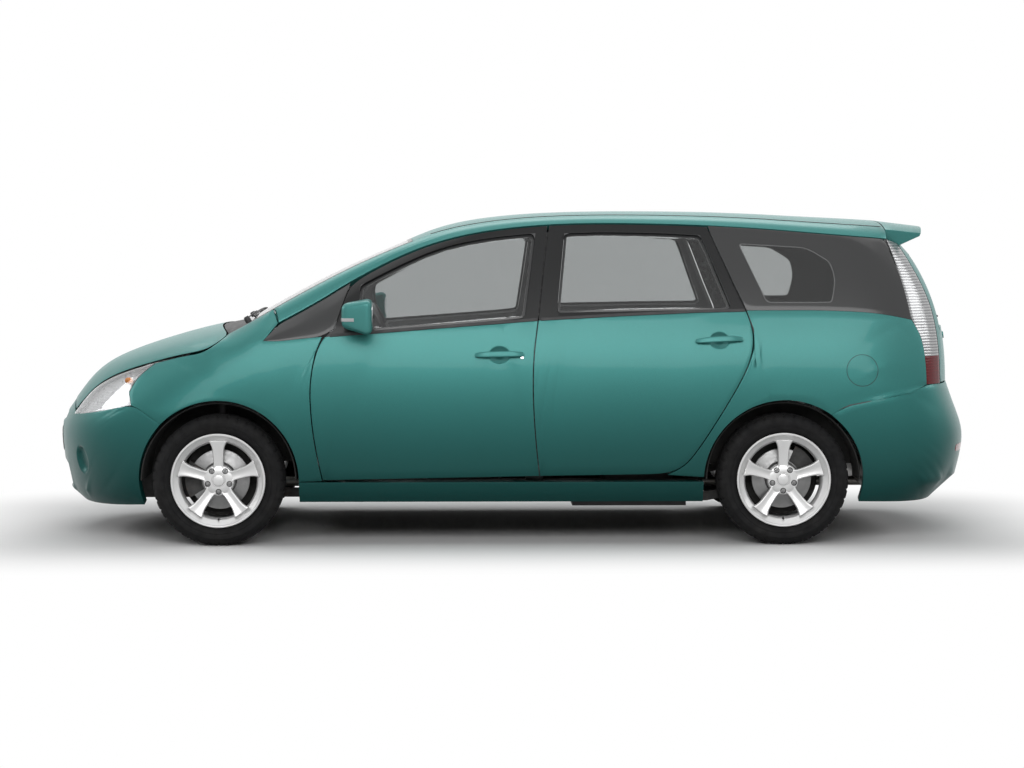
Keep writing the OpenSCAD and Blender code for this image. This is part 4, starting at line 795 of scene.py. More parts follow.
def rim_mesh(radius, face_y, depth):
    """Barrel and lip of a rim; its five spokes come from spoke_mesh."""
    lip = radius
    barrel = [(lip, face_y - 0.003), (lip - 0.004, face_y), (lip - 0.010, face_y - 0.001),
              (lip - 0.016, face_y - 0.010), (lip - 0.034, face_y - 0.018), (lip - 0.044, face_y - 0.032),
              (lip - 0.047, face_y - 0.075), (lip - 0.030, face_y - 0.15), (lip - 0.006, face_y - depth),
              (lip, face_y - depth + 0.002), (lip - 0.001, face_y - depth + 0.010), (lip - 0.014, face_y - depth + 0.02),
              (lip - 0.022, face_y - 0.15), (lip - 0.034, face_y - 0.075), (lip - 0.024, face_y - 0.03),
              (lip - 0.008, face_y - 0.014)]
    points, faces = lathe(barrel, 120)
    return mesh_from(points, faces)


def spoke_mesh(inner, outer_r, face_y):
    """One spoke along +Z: sections across its length, dished outward face, ribs down both edges."""
    shares = [0, 0.1, 0.22, 0.38, 0.55, 0.72, 0.86, 0.95, 1.0]
    points, faces = [], []
    rows = []
    for s in shares:
        r = inner + (outer_r - inner) * s
        wide = 0.048 + 0.020 * s ** 1.5 + 0.018 * max(0, 0.22 - s) / 0.22 + 0.030 * max(0, s - 0.8) / 0.2
        front = face_y - 0.030 + 0.026 * s ** 1.6
        deep = 0.030 + 0.012 * (1 - s)
        w = wide / 2
        rows.append([(-w, front - deep, r), (-w, front - deep * 0.35, r), (-w * 0.96, front - 0.004, r),
                     (-w * 0.82, front, r), (-w * 0.6, front - 0.002, r), (0, front - 0.0065, r),
                     (w * 0.6, front - 0.002, r), (w * 0.82, front, r), (w * 0.96, front - 0.004, r),
                     (w, front - deep * 0.35, r), (w, front - deep, r), (0, front - deep - 0.004, r)])
    n = len(rows[0])
    for row in rows:
        points += row
    for i in range(len(rows) - 1):
        for j in range(n):
            k = (j + 1) % n
            faces.append((i * n + j, i * n + k, (i + 1) * n + k, (i + 1) * n + j))
    faces.append(tuple(reversed(range(n))))
    faces.append(tuple(range((len(rows) - 1) * n, len(rows) * n)))
    return points, faces


def divided(mesh, level=1):
    holder = bpy.data.objects.new("holder", mesh)
    bpy.context.scene.collection.objects.link(holder)
    part = holder.modifiers.new("divide", "SUBSURF")
    part.levels = part.render_levels = level
    applied(holder)
    made = holder.data
    bpy.data.objects.remove(holder)
    return made


def joined(meshes):
    """One mesh from several."""
    whole = bmesh.new()
    for mesh in meshes:
        whole.from_mesh(mesh)
    made = bpy.data.meshes.new("joined")
    whole.to_mesh(made)
    whole.free()
    return made


def turned(mesh, matrix):
    made = mesh.copy()
    made.transform(matrix)
    if matrix.determinant() < 0:
        made.flip_normals()
    return made


def build_wheels():
    low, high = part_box("tyre_front_left")
    radius, width = (high.z - low.z) / 2, high.y - low.y
    rim_low, rim_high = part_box("rim_front_left")
    rim_radius = (rim_high.z - rim_low.z) / 2
    middle_y = (low.y + high.y) / 2
    face_y = rim_high.y - middle_y
    tyre = tyre_mesh(radius, width, rim_radius - 0.006)
    rim = rim_mesh(rim_radius, face_y, 0.190)
    points, faces = spoke_mesh(0.050, rim_radius - 0.036, face_y)
    spoke = divided(mesh_from(points, faces), 2)
    spokes = [turned(spoke, Matrix.Rotation(2 * math.pi * k / 5, 4, "Y")) for k in range(5)]
    hub_y = face_y - 0.030
    hub = smoothed_ring([(0.0006, hub_y - 0.004), (0.034, hub_y - 0.004), (0.036, hub_y - 0.001),
                         (0.070, hub_y - 0.001), (0.076, hub_y - 0.006), (0.078, hub_y - 0.045),
                         (0.0006, hub_y - 0.045)], 80)
    cap = smoothed_ring([(0.0004, hub_y + 0.008), (0.018, hub_y + 0.0075), (0.027, hub_y + 0.005),
                         (0.030, hub_y), (0.030, hub_y - 0.006), (0.0004, hub_y - 0.006)], 64)
    nut = smoothed_ring([(0.0003, hub_y + 0.006), (0.0045, hub_y + 0.006), (0.0085, hub_y + 0.003),
                         (0.0095, hub_y - 0.004), (0.0003, hub_y - 0.004)], 6)
    seat = smoothed_ring([(0.0098, hub_y + 0.0004), (0.0145, hub_y + 0.0004), (0.0145, hub_y - 0.003),
                          (0.0098, hub_y - 0.003)], 32)
    bolt_circle = 0.05715
    spots = [Matrix.Rotation(math.pi / 5 + 2 * math.pi * k / 5, 4, "Y") @ Matrix.Translation((0, 0, bolt_circle))
             for k in range(5)]
    nuts = joined([turned(nut, m) for m in spots])
    wells = joined([turned(seat, m) for m in spots])
    valve = smoothed_ring([(0.0003, 0.012), (0.003, 0.012), (0.004, 0.004), (0.0055, -0.012), (0.0003, -0.012)], 20)
    valve = turned(valve, Matrix.Translation((0, face_y - 0.022, -rim_radius + 0.041)))
    weight = mesh_from(*lathe([(rim_radius - 0.0485, face_y - 0.09), (rim_radius - 0.0485, face_y - 0.11),
                               (rim_radius - 0.051, face_y - 0.11), (rim_radius - 0.051, face_y - 0.09)], 90))
    disc_y = face_y - 0.098
    disc = smoothed_ring([(0.148, disc_y), (0.150, disc_y - 0.001), (0.150, disc_y - 0.009), (0.148, disc_y - 0.010),
                          (0.146, disc_y - 0.012), (0.148, disc_y - 0.014), (0.150, disc_y - 0.015),
                          (0.150, disc_y - 0.023), (0.148, disc_y - 0.024), (0.080, disc_y - 0.024),
                          (0.078, disc_y + 0.004), (0.074, disc_y + 0.030), (0.0005, disc_y + 0.030),
                          (0.0005, disc_y + 0.036), (0.080, disc_y + 0.036), (0.086, disc_y + 0.004), (0.092, disc_y)], 96)
    for corner in ("front_left", "front_right", "rear_left", "rear_right"):
        side = 1 if corner.endswith("left") else -1
        a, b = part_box("tyre_" + corner)
        at = (a + b) / 2
        body = body_of("tyre_" + corner)
        flip = Matrix.Translation(at) @ Matrix.Diagonal((1, side, 1, 1))
        piece("tyre_tread_" + corner, turned(tyre, flip), body, ["rubber"], ("tyre_" + corner,), 30)
        piece("rim_spokes_" + corner, turned(joined([rim, hub] + spokes), flip), body, ["alloy"],
              ("rim_" + corner,), 40)
        piece("centre_cap_" + corner, turned(cap, flip), body, ["alloy"])
        piece("wheel_nuts_" + corner, turned(nuts, flip), body, ["disc"])
        piece("nut_wells_" + corner, turned(wells, flip), body, ["trim"])
        piece("valve_" + corner, turned(valve, flip), body, ["trim"])
        piece("brake_disc_" + corner, turned(disc, flip), body, ["disc"])


build_wheels()

# ---------------------------------------------------------------- CAD nodes that keep their shape
for node_name, key in (("floor_pan", "underbody"), ("wheel_liners", "underbody"), ("side_frames", "black"),
                       ("dashboard", "cabin_dark"), ("engine_block", "cast"), ("front_subframe", "cast"),
                       ("rear_axle", "cast"), ("exhaust_system", "steel"), ("fuel_tank", "tank"),
                       ("steering_wheel", "leather"), ("knuckle_left", "cast"), ("knuckle_right", "cast")):
    shown = NODES[node_name]
    if not shown.material_slots:
        shown.data.materials.append(None)
    for spot in shown.material_slots:
        spot.material = MATERIALS[key]


# ---------------------------------------------------------------- lamps
def split_shell(mesh, is_front, depth):
    """(front, rest): the faces that is_front picks, given a thickness inward, and the others as one skin."""
    shells = []
    for wanted in (True, False):
        cage = bmesh.new()
        cage.from_mesh(mesh)
        drop = [f for f in cage.faces if is_front(f.calc_center_median(), f.normal) != wanted]
        bmesh.ops.delete(cage, geom=drop, context="FACES")
        if wanted:
            bmesh.ops.solidify(cage, geom=cage.faces[:], thickness=depth)
            bmesh.ops.recalc_face_normals(cage, faces=cage.faces[:])
        part = bpy.data.meshes.new("shell")
        cage.to_mesh(part)
        cage.free()
        shells.append(part)
    return shells


def bowl_mesh(radius, depth, steps=48):
    """A reflector bowl about Y, open towards +Y, with a thick wall."""
    inner = [(radius * k / 8, -depth * (1 - (k / 8) ** 2)) for k in range(1, 9)]
    profile = [(0.0004, -depth)] + inner + [(radius + 0.003, 0.0), (radius + 0.003, -0.004)]
    profile += [(r + 0.003, y - 0.003) for r, y in reversed(inner)] + [(0.0004, -depth - 0.004)]
    return mesh_from(*lathe(profile, steps))


def ball_mesh(radius, stretch=1.0, steps=24):
    profile = [(max(0.0003, radius * math.sin(math.pi * k / 12)), stretch * radius * math.cos(math.pi * k / 12))
               for k in range(13)]
    return mesh_from(*lathe(profile, steps))


def aimed(mesh, at, direction):
    """The mesh with its +Y turned to direction, at a place."""
    return turned(mesh, Matrix.Translation(at) @ Vector(direction).to_track_quat("Y", "Z").to_matrix().to_4x4())


def build_headlamps():
    whole = refined_mesh("headlamps", 2, 32, 0.0012)
    hit = surface_of(bpy.data.objects.new("probe", whole))

    def forward(c, n):
        side = 1 if c.y > 0 else -1
        return n.dot(Vector((0.72, 0.55 * side, 0.42)).normalized()) > 0.35
    lens, case = split_shell(whole, forward, -0.0025)
    piece("headlamp_lenses", lens, "body_shell", ["lens"], ("headlamps",))
    piece("headlamp_cases", case, "body_shell", ["lamp_body"])
    # Bowls along the lamp: (x, z, radius) of each, from the nose back.
    bowls = ((2.185, 0.705, 0.046), (2.085, 0.742, 0.058), (1.975, 0.79, 0.047))
    for where, side in SIDES.items():
        rows, bulbs, rings = [], [], []
        facing = Vector((0.86, 0.42 * side, 0.18)).normalized()
        for x, z, r in bowls:
            found = hit((x, side * 1.4, z), (0, -side, 0))
            if found is None:
                continue
            at = found[0] - facing * (r * 0.75 + 0.012) - found[1] * 0.012
            rows.append(aimed(bowl_mesh(r, r * 0.85), at, facing))
            bulbs.append(aimed(ball_mesh(r * 0.26, 1.5), at - facing * r * 0.3, facing))
            ring = smoothed_ring([(r + 0.002, 0.003), (r + 0.007, 0.001), (r + 0.008, -0.008), (r + 0.002, -0.004)], 48)
            rings.append(aimed(ring, at, facing))
        piece("headlamp_bowls_" + where, joined(rows), "body_shell", ["chrome"])
        piece("headlamp_bezels_" + where, joined(rings), "body_shell", ["chrome"])
        piece("headlamp_bulbs_" + where, joined(bulbs), "body_shell", ["lens"])
        at = hit((1.90, side * 1.4, 0.81), (0, -side, 0))
        if at:
            bulb = aimed(ball_mesh(0.017, 1.3), at[0] - at[1] * 0.055, facing)
            piece("indicator_bulb_" + where, bulb, "body_shell", ["amber"])


RED_TOP = 0.945          # top of the red band at the foot of a tail lamp


def tail_lens_material():
    """Clear lens over a grey reflector with a seam of small bars, red at the foot."""
    s = Shader("tail_lens")
    z = s.axis("Z")
    red = s.span(z, RED_TOP - 0.002, RED_TOP + 0.001, 1.0, 0.0)
    bars = s.span(s.wave(22, "Z"), 0.3, 0.7)
    clear = s.blend(bars, (0.26, 0.26, 0.27), (0.50, 0.51, 0.51))
    s.set(base_color=s.blend(red, clear, (0.16, 0.002, 0.006)), roughness=s.span(s.noise(40, 3), 0.3, 0.7, 0.1, 0.2),
          metallic=s.span(red, 0, 1, 0.35, 0.0), coat_weight=0.12, coat_roughness=0.04, specular_ior_level=0.12)
    s.bump(s.wave(22, "Z"), 0.3, 0.003)
    return s.material


MATERIALS["tail_lens"] = tail_lens_material()


def build_tail_lamps():
    whole = refined_mesh("tail_lamps", 2, 32, 0.0012)

    piece("tail_lamp_lenses", whole, "body_shell", ["tail_lens"], ("tail_lamps",))


build_headlamps()
build_tail_lamps()


# ---------------------------------------------------------------- trim on the skins
def strip_along(hit, places, cast, width, height, sink=0.001, twist=None):
    """A rounded strip laid on a skin: places are ray starts, cast the ray's direction."""
    line, normals = [], []
    for start in places:
        found = hit(start, cast)
        if found is None:
            continue
        line.append(found[0] + found[1] * (height / 2 - sink))
        normals.append(found[1])
    return sweep(line, rounded_section(width, height, min(width, height) * 0.42), normals)


def side_starts(path, side):
    return [(x, side * 1.5, z) for x, z in path]


def spaced(a, b, count):
    return [a + (b - a) * k / (count - 1) for k in range(count)]


def build_belt_mouldings():
    for where, side in SIDES.items():
        for row, a, b in (("front", 0.945, -0.118), ("rear", -0.136, -1.158)):
            node = f"{row}_door_{where}"
            hit = surface_of(PANELS[node])
            path = [(x, belt(x) + 0.001) for x in spaced(a, b, 40)]
            mesh = strip_along(hit, side_starts(path, side), (0, -side, 0), 0.016, 0.005)
            piece("belt_moulding_" + node, mesh, body_of(node), ["trim"])
            if row == "rear":
                continue


def dented(made, at, normal, reach, depth, flat=0.0, fine=0.006):
    """Press an oval dent of half-sizes reach (along X, along Z) into a skin, after refining it there."""
    cage = bmesh.new()
    cage.from_mesh(made.data)
    size = max(reach) * 1.3
    for _ in range(5):
        near = [e for e in cage.edges if e.calc_length() > fine
                and ((e.verts[0].co + e.verts[1].co) / 2 - at).length < size + e.calc_length() / 2
                and e.verts[0].normal.dot(normal) > 0.4]
        if not near:
            break
        bmesh.ops.subdivide_edges(cage, edges=near, cuts=1, use_grid_fill=True)
        bmesh.ops.triangulate(cage, faces=[f for f in cage.faces if len(f.verts) > 4])
        cage.normal_update()
    for v in cage.verts:
        if v.normal.dot(normal) < 0.4 or (v.co - at).length > size:
            continue
        away = v.co - at
        flatwise = away - normal * away.dot(normal)
        across = math.hypot(flatwise.x, flatwise.y)
        share = math.hypot(across / reach[0], flatwise.z / reach[1])
        if share < 1:
            fall = min(1, (1 - share * share) / (1 - flat))
            v.co -= normal * depth * fall * fall * (3 - 2 * fall)
    cage.to_mesh(made.data)
    cage.free()
    made.data.shade_smooth()
    made.data.set_sharp_from_angle(angle=math.radians(38))


def build_handles():
    """Pull handles over cups pressed into the door skins, with a key barrel behind the front one."""
    for where, side in SIDES.items():
        for row, mid_x, mid_z, length, lean, cup in (("front", 0.068, 0.957, 0.246, 0.02, (0.055, 0.047)),
                                                     ("rear", -1.032, 1.029, 0.240, 0.055, (0.053, 0.045))):
            node = f"{row}_door_{where}"
            skin = surface_of(PANELS[node])
            at, normal = skin((mid_x + 0.005, side * 1.5, mid_z - 0.002), (0, -side, 0))
            along = Vector((1, 0, -lean)).normalized()
            along = (along - normal * along.dot(normal)).normalized()
            line, normals, feet = [], [], []
            for k in range(21):
                t = k / 20
                rise = 0.007 + 0.021 * (1 - abs(2 * t - 1) ** 3.2)
                line.append(skin(at + along * (t - 0.5) * length + normal * 0.2, -normal)[0] + normal * rise)
                normals.append(normal)
            grip = sweep(line, rounded_section(0.031, 0.013, 0.006, 4), normals)
            for v in grip.vertices:
                t = (v.co - at).dot(along) / length
                v.co.z += (at.z - v.co.z + 0.03) * 0.0 - (v.co.z - at.z) * 0.35 * abs(2 * t) ** 3
            grip = divided(grip, 1)
            piece("handle_grip_" + node, grip, body_of(node), ["paint"])
            for end in (-1, 1):
                spot = skin(at + along * (end * length * 0.43) + normal * 0.2, -normal)[0]
                foot = mesh_from(*lathe([(0.0005, 0.012), (0.010, 0.011), (0.013, 0.004), (0.014, -0.002),
                                         (0.0005, -0.002)], 40))
                feet.append(aimed(foot, spot, normal))
            piece("handle_feet_" + node, joined(feet), body_of(node), ["paint"])
            if row == "front" and side > 0:
                spot = skin(at + Vector((-0.113, 0, 0.001)) + normal * 0.2, -normal)[0]
                lock = aimed(mesh_from(*lathe([(0.0004, 0.012), (0.0045, 0.012), (0.0075, 0.0115), (0.008, -0.001),
                                               (0.0004, -0.001)], 36)), spot + Vector((0, 0, -0.016)), normal)
                piece("door_lock", lock, body_of(node), ["chrome"])
            dented(PANELS[node], at, normal, cup, 0.019)


def ring_on(hit, cx, cz, radius, side, width, height):
    """A flat ring that lies on the side skin."""
    line, normals = [], []
    for k in range(72):
        a = 2 * math.pi * k / 72
        found = hit((cx + radius * math.cos(a), side * 1.5, cz + radius * math.sin(a)), (0, -side, 0))
        line.append(found[0] + found[1] * 0.0002)
        normals.append(found[1])
    return sweep(line, [(-width / 2, -height), (width / 2, -height), (width / 2, height), (-width / 2, height)],
                 normals, closed=True)


def build_fuel_flap():
    hit = surface_of(PANELS["body_sides"])
    piece("fuel_flap_gap", ring_on(hit, -1.741, 0.877, 0.0785, 1, 0.0028, 0.0003), "body_shell", ["shade"])
    piece("fuel_flap_roll", ring_on(hit, -1.741, 0.877, 0.0745, 1, 0.004, 0.0007), "body_shell", ["paint"])


MATERIALS["shade"] = plastic_material("recess_shade", (0.010, 0.028, 0.027), (0.014, 0.034, 0.032), 0.6, 300)
build_belt_mouldings()
build_handles()
build_fuel_flap()


def laid_plate(hit, middle, cast, width, height, deep, corner=0.012, sink=0.002, rim=0.0, turn=0.0):
    """A plate that follows a skin: rays leave a rounded rectangle about middle and run along cast."""
    cast = Vector(cast).normalized()
    across = cast.cross(Vector((0, 0, 1))).normalized()
    up = across.cross(cast)
    across, up = (across * math.cos(turn) + up * math.sin(turn), up * math.cos(turn) - across * math.sin(turn))
    rings = []
    for share in (0.0, 0.25, 0.5, 0.75, 0.9, 1.0):
        outline = rounded_section(width, height, min(corner, height * 0.49), 4)
        fine = []
        for (a, b), (c, d) in zip(outline, outline[1:] + outline[:1]):
            steps = max(1, round(math.hypot(c - a, d - b) / 0.03))
            fine += [(a + (c - a) * k / steps, b + (d - b) * k / steps) for k in range(steps)]
        ring = []
        for a, b in fine:
            found = hit(Vector(middle) + across * a * share + up * b * share - cast, cast)
            if found is None:
                return None
            ring.append(found[0])
        rings.append(ring)
    n = len(rings[0])
    points = [rings[0][0] - cast * (deep - rim)]
    for ring, share in zip(rings[1:], (0.25, 0.5, 0.75, 0.9, 1.0)):
        points += [p - cast * (deep - (rim if share < 0.95 else 0)) for p in ring]
    points += [p - cast * (deep * 0.35) + (rings[0][0] - p).normalized() * -0.0008 for p in rings[-1]]
    points += [p + cast * sink for p in rings[-1]]
    faces = [(0, 1 + j, 1 + (j + 1) % n) for j in range(n)]
    for level in range(6):
        low = 1 + level * n
        for j in range(n):
            k = (j + 1) % n
            faces.append((low + j, low + n + j, low + n + k, low + k))
    mesh = mesh_from(points, faces)
    cage = bmesh.new()
    cage.from_mesh(mesh)
    bmesh.ops.recalc_face_normals(cage, faces=cage.faces[:])
    middle_face = min(cage.faces, key=lambda f: (f.calc_center_median() - points[0]).length)
    if middle_face.normal.dot(cast) > 0:
        bmesh.ops.reverse_faces(cage, faces=cage.faces[:])
    cage.to_mesh(mesh)
    cage.free()
    return mesh


def build_plates():
    low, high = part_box("front_bumper")
    front = surface_of(PANELS["front_bumper"])
    z = low.z + (high.z - low.z) * 0.60
    for name, w, h, deep, corner, key in (("front_plate_holder", 0.534, 0.124, 0.002, 0.014, "trim"),
                                          ("front_plate", 0.52, 0.110, 0.004, 0.010, "plate")):
        mesh = laid_plate(front, (3, 0, z), (-1, 0, 0), w, h, deep, corner)
        if mesh:
            piece(name, mesh, "body_shell", [key])
    rear = surface_of(PANELS["tailgate"])
    for name, w, h, deep, corner, key, at in (("rear_plate_holder", 0.56, 0.15, 0.002, 0.02, "trim", 0.935),
                                              ("rear_plate", 0.52, 0.11, 0.004, 0.010, "plate", 0.93),
                                              ("tailgate_grip", 0.70, 0.034, 0.009, 0.012, "paint", 1.035)):
        mesh = laid_plate(rear, (-3, 0, at), (1, 0, 0), w, h, deep, corner)
        if mesh:
            piece(name, mesh, "tailgate_lid", [key])


build_plates()


# ---------------------------------------------------------------- mirrors, recesses and small trim
def build_mirrors():
    """Glass and a clear turn strip on each door mirror."""
    for where, side in SIDES.items():
        node = "mirror_" + where
        low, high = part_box(node)
        hit = surface_of(PANELS[node])
        y = side * (0.5 * (min(abs(low.y), abs(high.y)) + 0.03) + 0.5 * max(abs(low.y), abs(high.y)))
        z = (high.z + low.z) / 2 + 0.008
        glass = laid_plate(hit, (low.x - 1, y, z), (1, 0, 0), 0.135, 0.108, 0.0012, 0.03, 0.003)
        if glass:
            piece("mirror_glass_" + where, glass, body_of(node), ["mirror"])
        line, normals = [], []
        for k in range(16):
            angle = math.radians(20 + 62 * k / 15)
            direction = Vector((-math.cos(angle), -side * math.sin(angle), 0))
            start = Vector(((low.x + high.x) / 2, y, z - 0.022)) - direction * 0.5
            found = hit(start, direction)
            if found:
                line.append(found[0] + found[1] * 0.0008)
                normals.append(found[1])
        if len(line) > 4:
            strip = sweep(line, rounded_section(0.017, 0.004, 0.0016), normals)
            piece("turn_strip_" + where, strip, body_of(node), ["clear"])


def build_recesses():
    """Oval fog recesses in the corners of the front bumper."""
    skin = surface_of(PANELS["front_bumper"])
    for side in (1, -1):
        found = skin((2.199, side * 1.5, 0.411), (0, -side, 0))
        if found:
            dented(PANELS["front_bumper"], found[0], found[1], (0.060, 0.078), 0.022, 0.25, 0.008)


def edge_line(node, y, pick):
    """The x of a node's foremost or rearmost point near y."""
    return pick(v.co.x for v in PANELS[node].data.vertices if abs(v.co.y - y) < 0.05)


def build_wipers():
    """Two blades with arms over the foot of the windscreen and one on the tailgate glass."""
    screen = surface_of(PANELS["windscreen"])
    for name, y_from, y_to in (("left", 0.60, 0.02), ("right", -0.02, -0.60)):
        line, normals = [], []
        for y in spaced(y_from, y_to, 18):
            x = edge_line("windscreen", y, max) - 0.045 - 0.02 * (y_from - y) / 0.6
            found = screen((x, y, 3), (0, 0, -1))
            if found:
                line.append(found[0] + found[1] * 0.007)
                normals.append(found[1])
        if len(line) < 6:
            continue
        blade = sweep(line, rounded_section(0.009, 0.011, 0.003), normals)
        arm_line = [line[0] + Vector((0.035, 0.03, -0.012)), line[3] + normals[3] * 0.010,
                    line[6] + normals[6] * 0.011, line[9] + normals[9] * 0.007]
        arm = sweep(arm_line, rounded_section(0.012, 0.007, 0.003), [normals[3]] * 4)
        boss = aimed(mesh_from(*lathe([(0.0004, 0.012), (0.012, 0.011), (0.016, 0.0), (0.016, -0.02),
                                       (0.0004, -0.02)], 32)), arm_line[0], normals[0])
        piece("wiper_" + name, joined([blade, divided(arm, 1), boss]), "body_shell", ["trim"])
    glass = surface_of(PANELS["tailgate_glass"])
    low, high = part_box("tailgate_glass")
    line, normals = [], []
    for y in spaced(-0.02, 0.36, 14):
        found = glass((-3, y, low.z + 0.05), (1, 0, 0))
        if found:
            line.append(found[0] + found[1] * 0.006)
            normals.append(found[1])
    if len(line) > 5:
        blade = sweep(line, rounded_section(0.009, 0.010, 0.003), normals)
        boss = aimed(mesh_from(*lathe([(0.0004, 0.014), (0.014, 0.012), (0.02, -0.004), (0.0004, -0.004)], 32)),
                     line[0] - normals[0] * 0.002, normals[0])
        piece("rear_wiper", joined([blade, boss]), "tailgate_lid", ["trim"])


def build_roof_lines():
    """Dark ditch mouldings along both sides of the roof."""
    hit = surface_of(PANELS["roof_panel"])
    for where, side in SIDES.items():
        line, normals = [], []
        for x in spaced(0.42, -1.93, 60):
            found, reach = None, 0.80
            while found is None and reach > 0.3:
                reach -= 0.005
                found = hit((x, side * reach, 3), (0, 0, -1))
            found = hit((x, side * (reach - 0.030), 3), (0, 0, -1))
            if found:
                line.append(found[0] + found[1] * 0.0006)
                normals.append(found[1])
        if len(line) > 10:
            strip = sweep(line, rounded_section(0.010, 0.003, 0.0012), normals)
            piece("roof_moulding_" + where, strip, "body_shell", ["trim"])


def build_rear_lights():
    """High brake lamp under the spoiler's lip and reflectors in the rear bumper."""
    bumper = surface_of(PANELS["rear_bumper"])
    for where, side in SIDES.items():
        mesh = laid_plate(bumper, (-3, side * 0.60, 0.47), (1, 0, 0), 0.15, 0.036, 0.002, 0.016)
        if mesh:
            piece("rear_reflector_" + where, mesh, "body_shell", ["red"])
    low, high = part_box("tailgate_glass")
    glass = surface_of(PANELS["tailgate_glass"])
    mesh = laid_plate(glass, (-3, 0, high.z - 0.035), (1, 0, 0), 0.30, 0.022, 0.002, 0.009)
    if mesh:
        piece("high_brake_lamp", mesh, "tailgate_lid", ["red"])


def build_dust_shields():
    """Pressed shields behind the brake discs, on the knuckles in front and on the axle behind."""
    for corner in ("front_left", "front_right", "rear_left", "rear_right"):
        side = 1 if corner.endswith("left") else -1
        a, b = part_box("tyre_" + corner)
        rim_low, rim_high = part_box("rim_" + corner)
        at = (a + b) / 2
        outer = max(abs(rim_low.y), abs(rim_high.y)) - 0.150
        ring = mesh_from(*lathe([(0.060, 0.0), (0.120, 0.0), (0.150, -0.004), (0.180, -0.004), (0.184, 0.002),
                                 (0.186, 0.002), (0.183, -0.007), (0.150, -0.007), (0.120, -0.003), (0.060, -0.003)],
                                96))
        place = Matrix.Translation((at.x, side * outer, at.z)) @ Matrix.Diagonal((1, side, 1, 1))
        body = "knuckle_" + corner if corner.startswith("front") else "body_shell"
        piece("dust_shield_" + corner, turned(ring, place), body, ["underbody"])


MATERIALS["clear"] = glow_plastic_material("clear_strip", (0.50, 0.51, 0.52), (0.66, 0.67, 0.68), 0.06)
build_mirrors()
build_recesses()
build_wipers()
build_roof_lines()
build_rear_lights()
build_dust_shields()


# ---------------------------------------------------------------- seats
def rounded_block(size, cuts=(10, 8, 4), power=5.0):
    """A block of size (x, y, z) about its middle whose edges are drawn in like stuffed cloth."""
    made = bmesh.new()
    bmesh.ops.create_cube(made, size=2)
    bmesh.ops.subdivide_edges(made, edges=made.edges[:], cuts=9, use_grid_fill=True)
    for v in made.verts:
        p = v.co
        reach = (abs(p.x) ** power + abs(p.y) ** power + abs(p.z) ** power) ** (1 / power)
        biggest = max(abs(p.x), abs(p.y), abs(p.z))
        v.co = Vector((p.x * size[0] / 2, p.y * size[1] / 2, p.z * size[2] / 2)) * (biggest / reach)
    mesh = bpy.data.meshes.new("block")
    made.to_mesh(mesh)
    made.free()
    return mesh


def puffed(mesh, voxel=0.007, cap=0.012, pressure=4.0):
    """The mesh as a stuffed cover: remeshed, blown up a little as cloth, and smoothed."""
    holder = bpy.data.objects.new("pad", mesh)
    bpy.context.scene.collection.objects.link(holder)
    remesh = holder.modifiers.new("remesh", "REMESH")
    remesh.mode = "VOXEL"
    remesh.voxel_size = voxel
    applied(holder)
    start = np.array([v.co for v in holder.data.vertices])
    cloth = holder.modifiers.new("cloth", "CLOTH")
    cloth.settings.use_pressure = True
    cloth.settings.uniform_pressure_force = pressure
    cloth.settings.effector_weights.gravity = 0
    cloth.settings.quality = 4
    cloth.settings.tension_stiffness = 12
    cloth.point_cache.frame_start = 1
    cloth.point_cache.frame_end = 20
    for number in range(1, 21):
        bpy.context.scene.frame_set(number)
    applied(holder)
    bpy.context.scene.frame_set(1)
    moved = np.array([v.co for v in holder.data.vertices]) - start
    reach = np.linalg.norm(moved, axis=1, keepdims=True)
    moved *= np.minimum(1, cap / np.maximum(reach, 1e-9))
    holder.data.vertices.foreach_set("co", (start + moved).astype(np.float32).ravel())
    smooth = holder.modifiers.new("smooth", "SMOOTH")
    smooth.iterations = 6
    applied(holder)
    made = holder.data
    bpy.data.objects.remove(holder)
    return made


def channelled(mesh, axis, across, spots, width, depth, face):
    """Sewn channels: lines at spots along one axis, pressed into the face that looks along +Z."""
    for v in mesh.vertices:
        if v.co[face] < 0:
            continue
        for spot in spots:
            d = (v.co[axis] - spot) / width
            v.co[face] -= depth * math.exp(-d * d)
    mesh.update()
    return mesh


def bolstered(mesh, half_width, rise, power=3):
    """Sides of the sitting face raised to hold the sitter."""
    for v in mesh.vertices:
        if v.co.z > 0:
            v.co.z += rise * min(1, abs(v.co.y) / half_width) ** power
    mesh.update()
    return mesh


CUSHION = (0.52, 0.46, 0.105)
BACK = (0.60, 0.45, 0.115)
HEAD = (0.185, 0.25, 0.085)


def pad_forms():
    cushion = puffed(rounded_block((CUSHION[0] - 0.02, CUSHION[1] - 0.02, CUSHION[2] - 0.02)))
    bolstered(cushion, CUSHION[1] / 2, 0.022)
    channelled(cushion, 1, 0, (-0.125, 0.125), 0.006, 0.006, 2)
    channelled(cushion, 0, 0, (-0.08, 0.10), 0.006, 0.004, 2)
    back = puffed(rounded_block((BACK[0] - 0.02, BACK[1] - 0.02, BACK[2] - 0.02), power=4.5))
    bolstered(back, BACK[1] / 2, 0.026)
    channelled(back, 1, 0, (-0.12, 0.12), 0.006, 0.006, 2)
    channelled(back, 0, 0, (-0.12, 0.06), 0.006, 0.004, 2)
    head = puffed(rounded_block((HEAD[0] - 0.012, HEAD[1] - 0.012, HEAD[2] - 0.012), power=3.5), 0.009, 0.008)
    return cushion, back, head


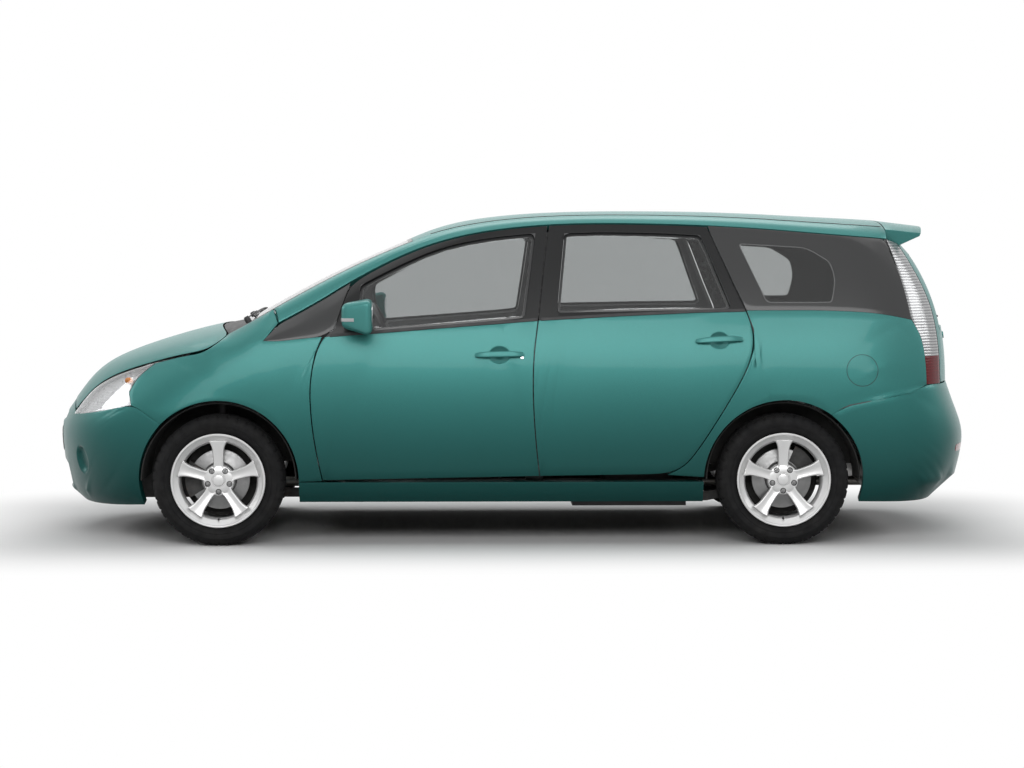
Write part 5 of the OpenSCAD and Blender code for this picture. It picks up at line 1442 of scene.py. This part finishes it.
def build_seats():
    """Each row's cushions, backs and head rests, placed from the boxes of the CAD seats."""
    cushion, back, head = pad_forms()
    lean = math.radians(18)
    rows = (("front", "front_seats", (("left", 1), ("right", -1)), 0.48, 0.49, 0.62, 1.0),
            ("middle", "middle_seats", (("left", 1), ("centre", 0), ("right", -1)), 0.415, 0.47, 0.56, 0.93),
            ("rear", "rear_seats", (("left", 1), ("right", -1)), 0.48, 0.43, 0.48, 0.86))
    for row, node, places, wide, deep, back_h, scale in rows:
        low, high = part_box(node)
        foot_x = high.x - deep
        # The head rest's upper rear corner is the seat's highest point.
        rise = 0.05 + (back_h - 0.004 + 0.180) * math.cos(lean) + 0.04 * math.sin(lean)
        cushion_z = high.z - rise
        first = True
        for place, sign in places:
            width = wide if sign or row != "middle" else 0.335
            y = sign * ((high.y - low.y) / 2 - wide / 2)
            grow = width / 0.48
            seat_at = Vector((foot_x + deep / 2 - 0.01, y, cushion_z + 0.058))
            bottom = turned(cushion, Matrix.Translation(seat_at) @ Matrix.Rotation(math.radians(-3), 4, "Y")
                            @ Matrix.Diagonal((deep / 0.50, grow, 1, 1)))
            made = piece(f"{row}_cushion_{place}", bottom, "body_shell", ["seat"], (node,) if first else ())
            first = False
            along = Vector((-math.sin(lean), 0, math.cos(lean)))
            outwards = Vector((math.cos(lean), 0, math.sin(lean)))
            turn = Matrix((along, Vector((0, 1, 0)), outwards)).transposed().to_4x4()
            base = Vector((foot_x, y, cushion_z + 0.05))
            middle = base + along * (back_h / 2) - outwards * 0.045
            rest = turned(back, Matrix.Translation(middle) @ turn @ Matrix.Diagonal((back_h / 0.60, grow, 1, 1)))
            made = piece(f"{row}_back_{place}", rest, "body_shell", ["seat"])
            top = base + along * (back_h + 0.086) - outwards * 0.048
            pillow = turned(head, Matrix.Translation(top) @ turn)
            made = piece(f"{row}_head_rest_{place}", pillow, "body_shell", ["seat"])
            rods = []
            for side in (-1, 1):
                rod = mesh_from(*lathe([(0.0003, -0.06), (0.006, -0.06), (0.006, 0.03), (0.0003, 0.03)], 16))
                rods.append(aimed(rod, base + along * (back_h - 0.01) - outwards * 0.048 + Vector((0, side * 0.055, 0)),
                                  along))
            piece(f"{row}_head_rods_{place}", joined(rods), "body_shell", ["chrome"])
            frame_low = low.z if sign or row != "middle" else low.z + 0.09
            shell = rounded_block((deep - 0.10, width - 0.09, cushion_z - frame_low + 0.02), power=9)
            shell = turned(shell, Matrix.Translation((foot_x + deep / 2 - 0.03, y, (cushion_z + frame_low) / 2 + 0.005)))
            piece(f"{row}_seat_base_{place}", shell, "body_shell", ["cabin_dark"])
            rear_cover = rounded_block((back_h - 0.03, width - 0.04, 0.03), power=6)
            rear_cover = turned(rear_cover, Matrix.Translation(middle - outwards * 0.050) @ turn)
            piece(f"{row}_seat_back_cover_{place}", rear_cover, "body_shell", ["cabin"])


build_seats()
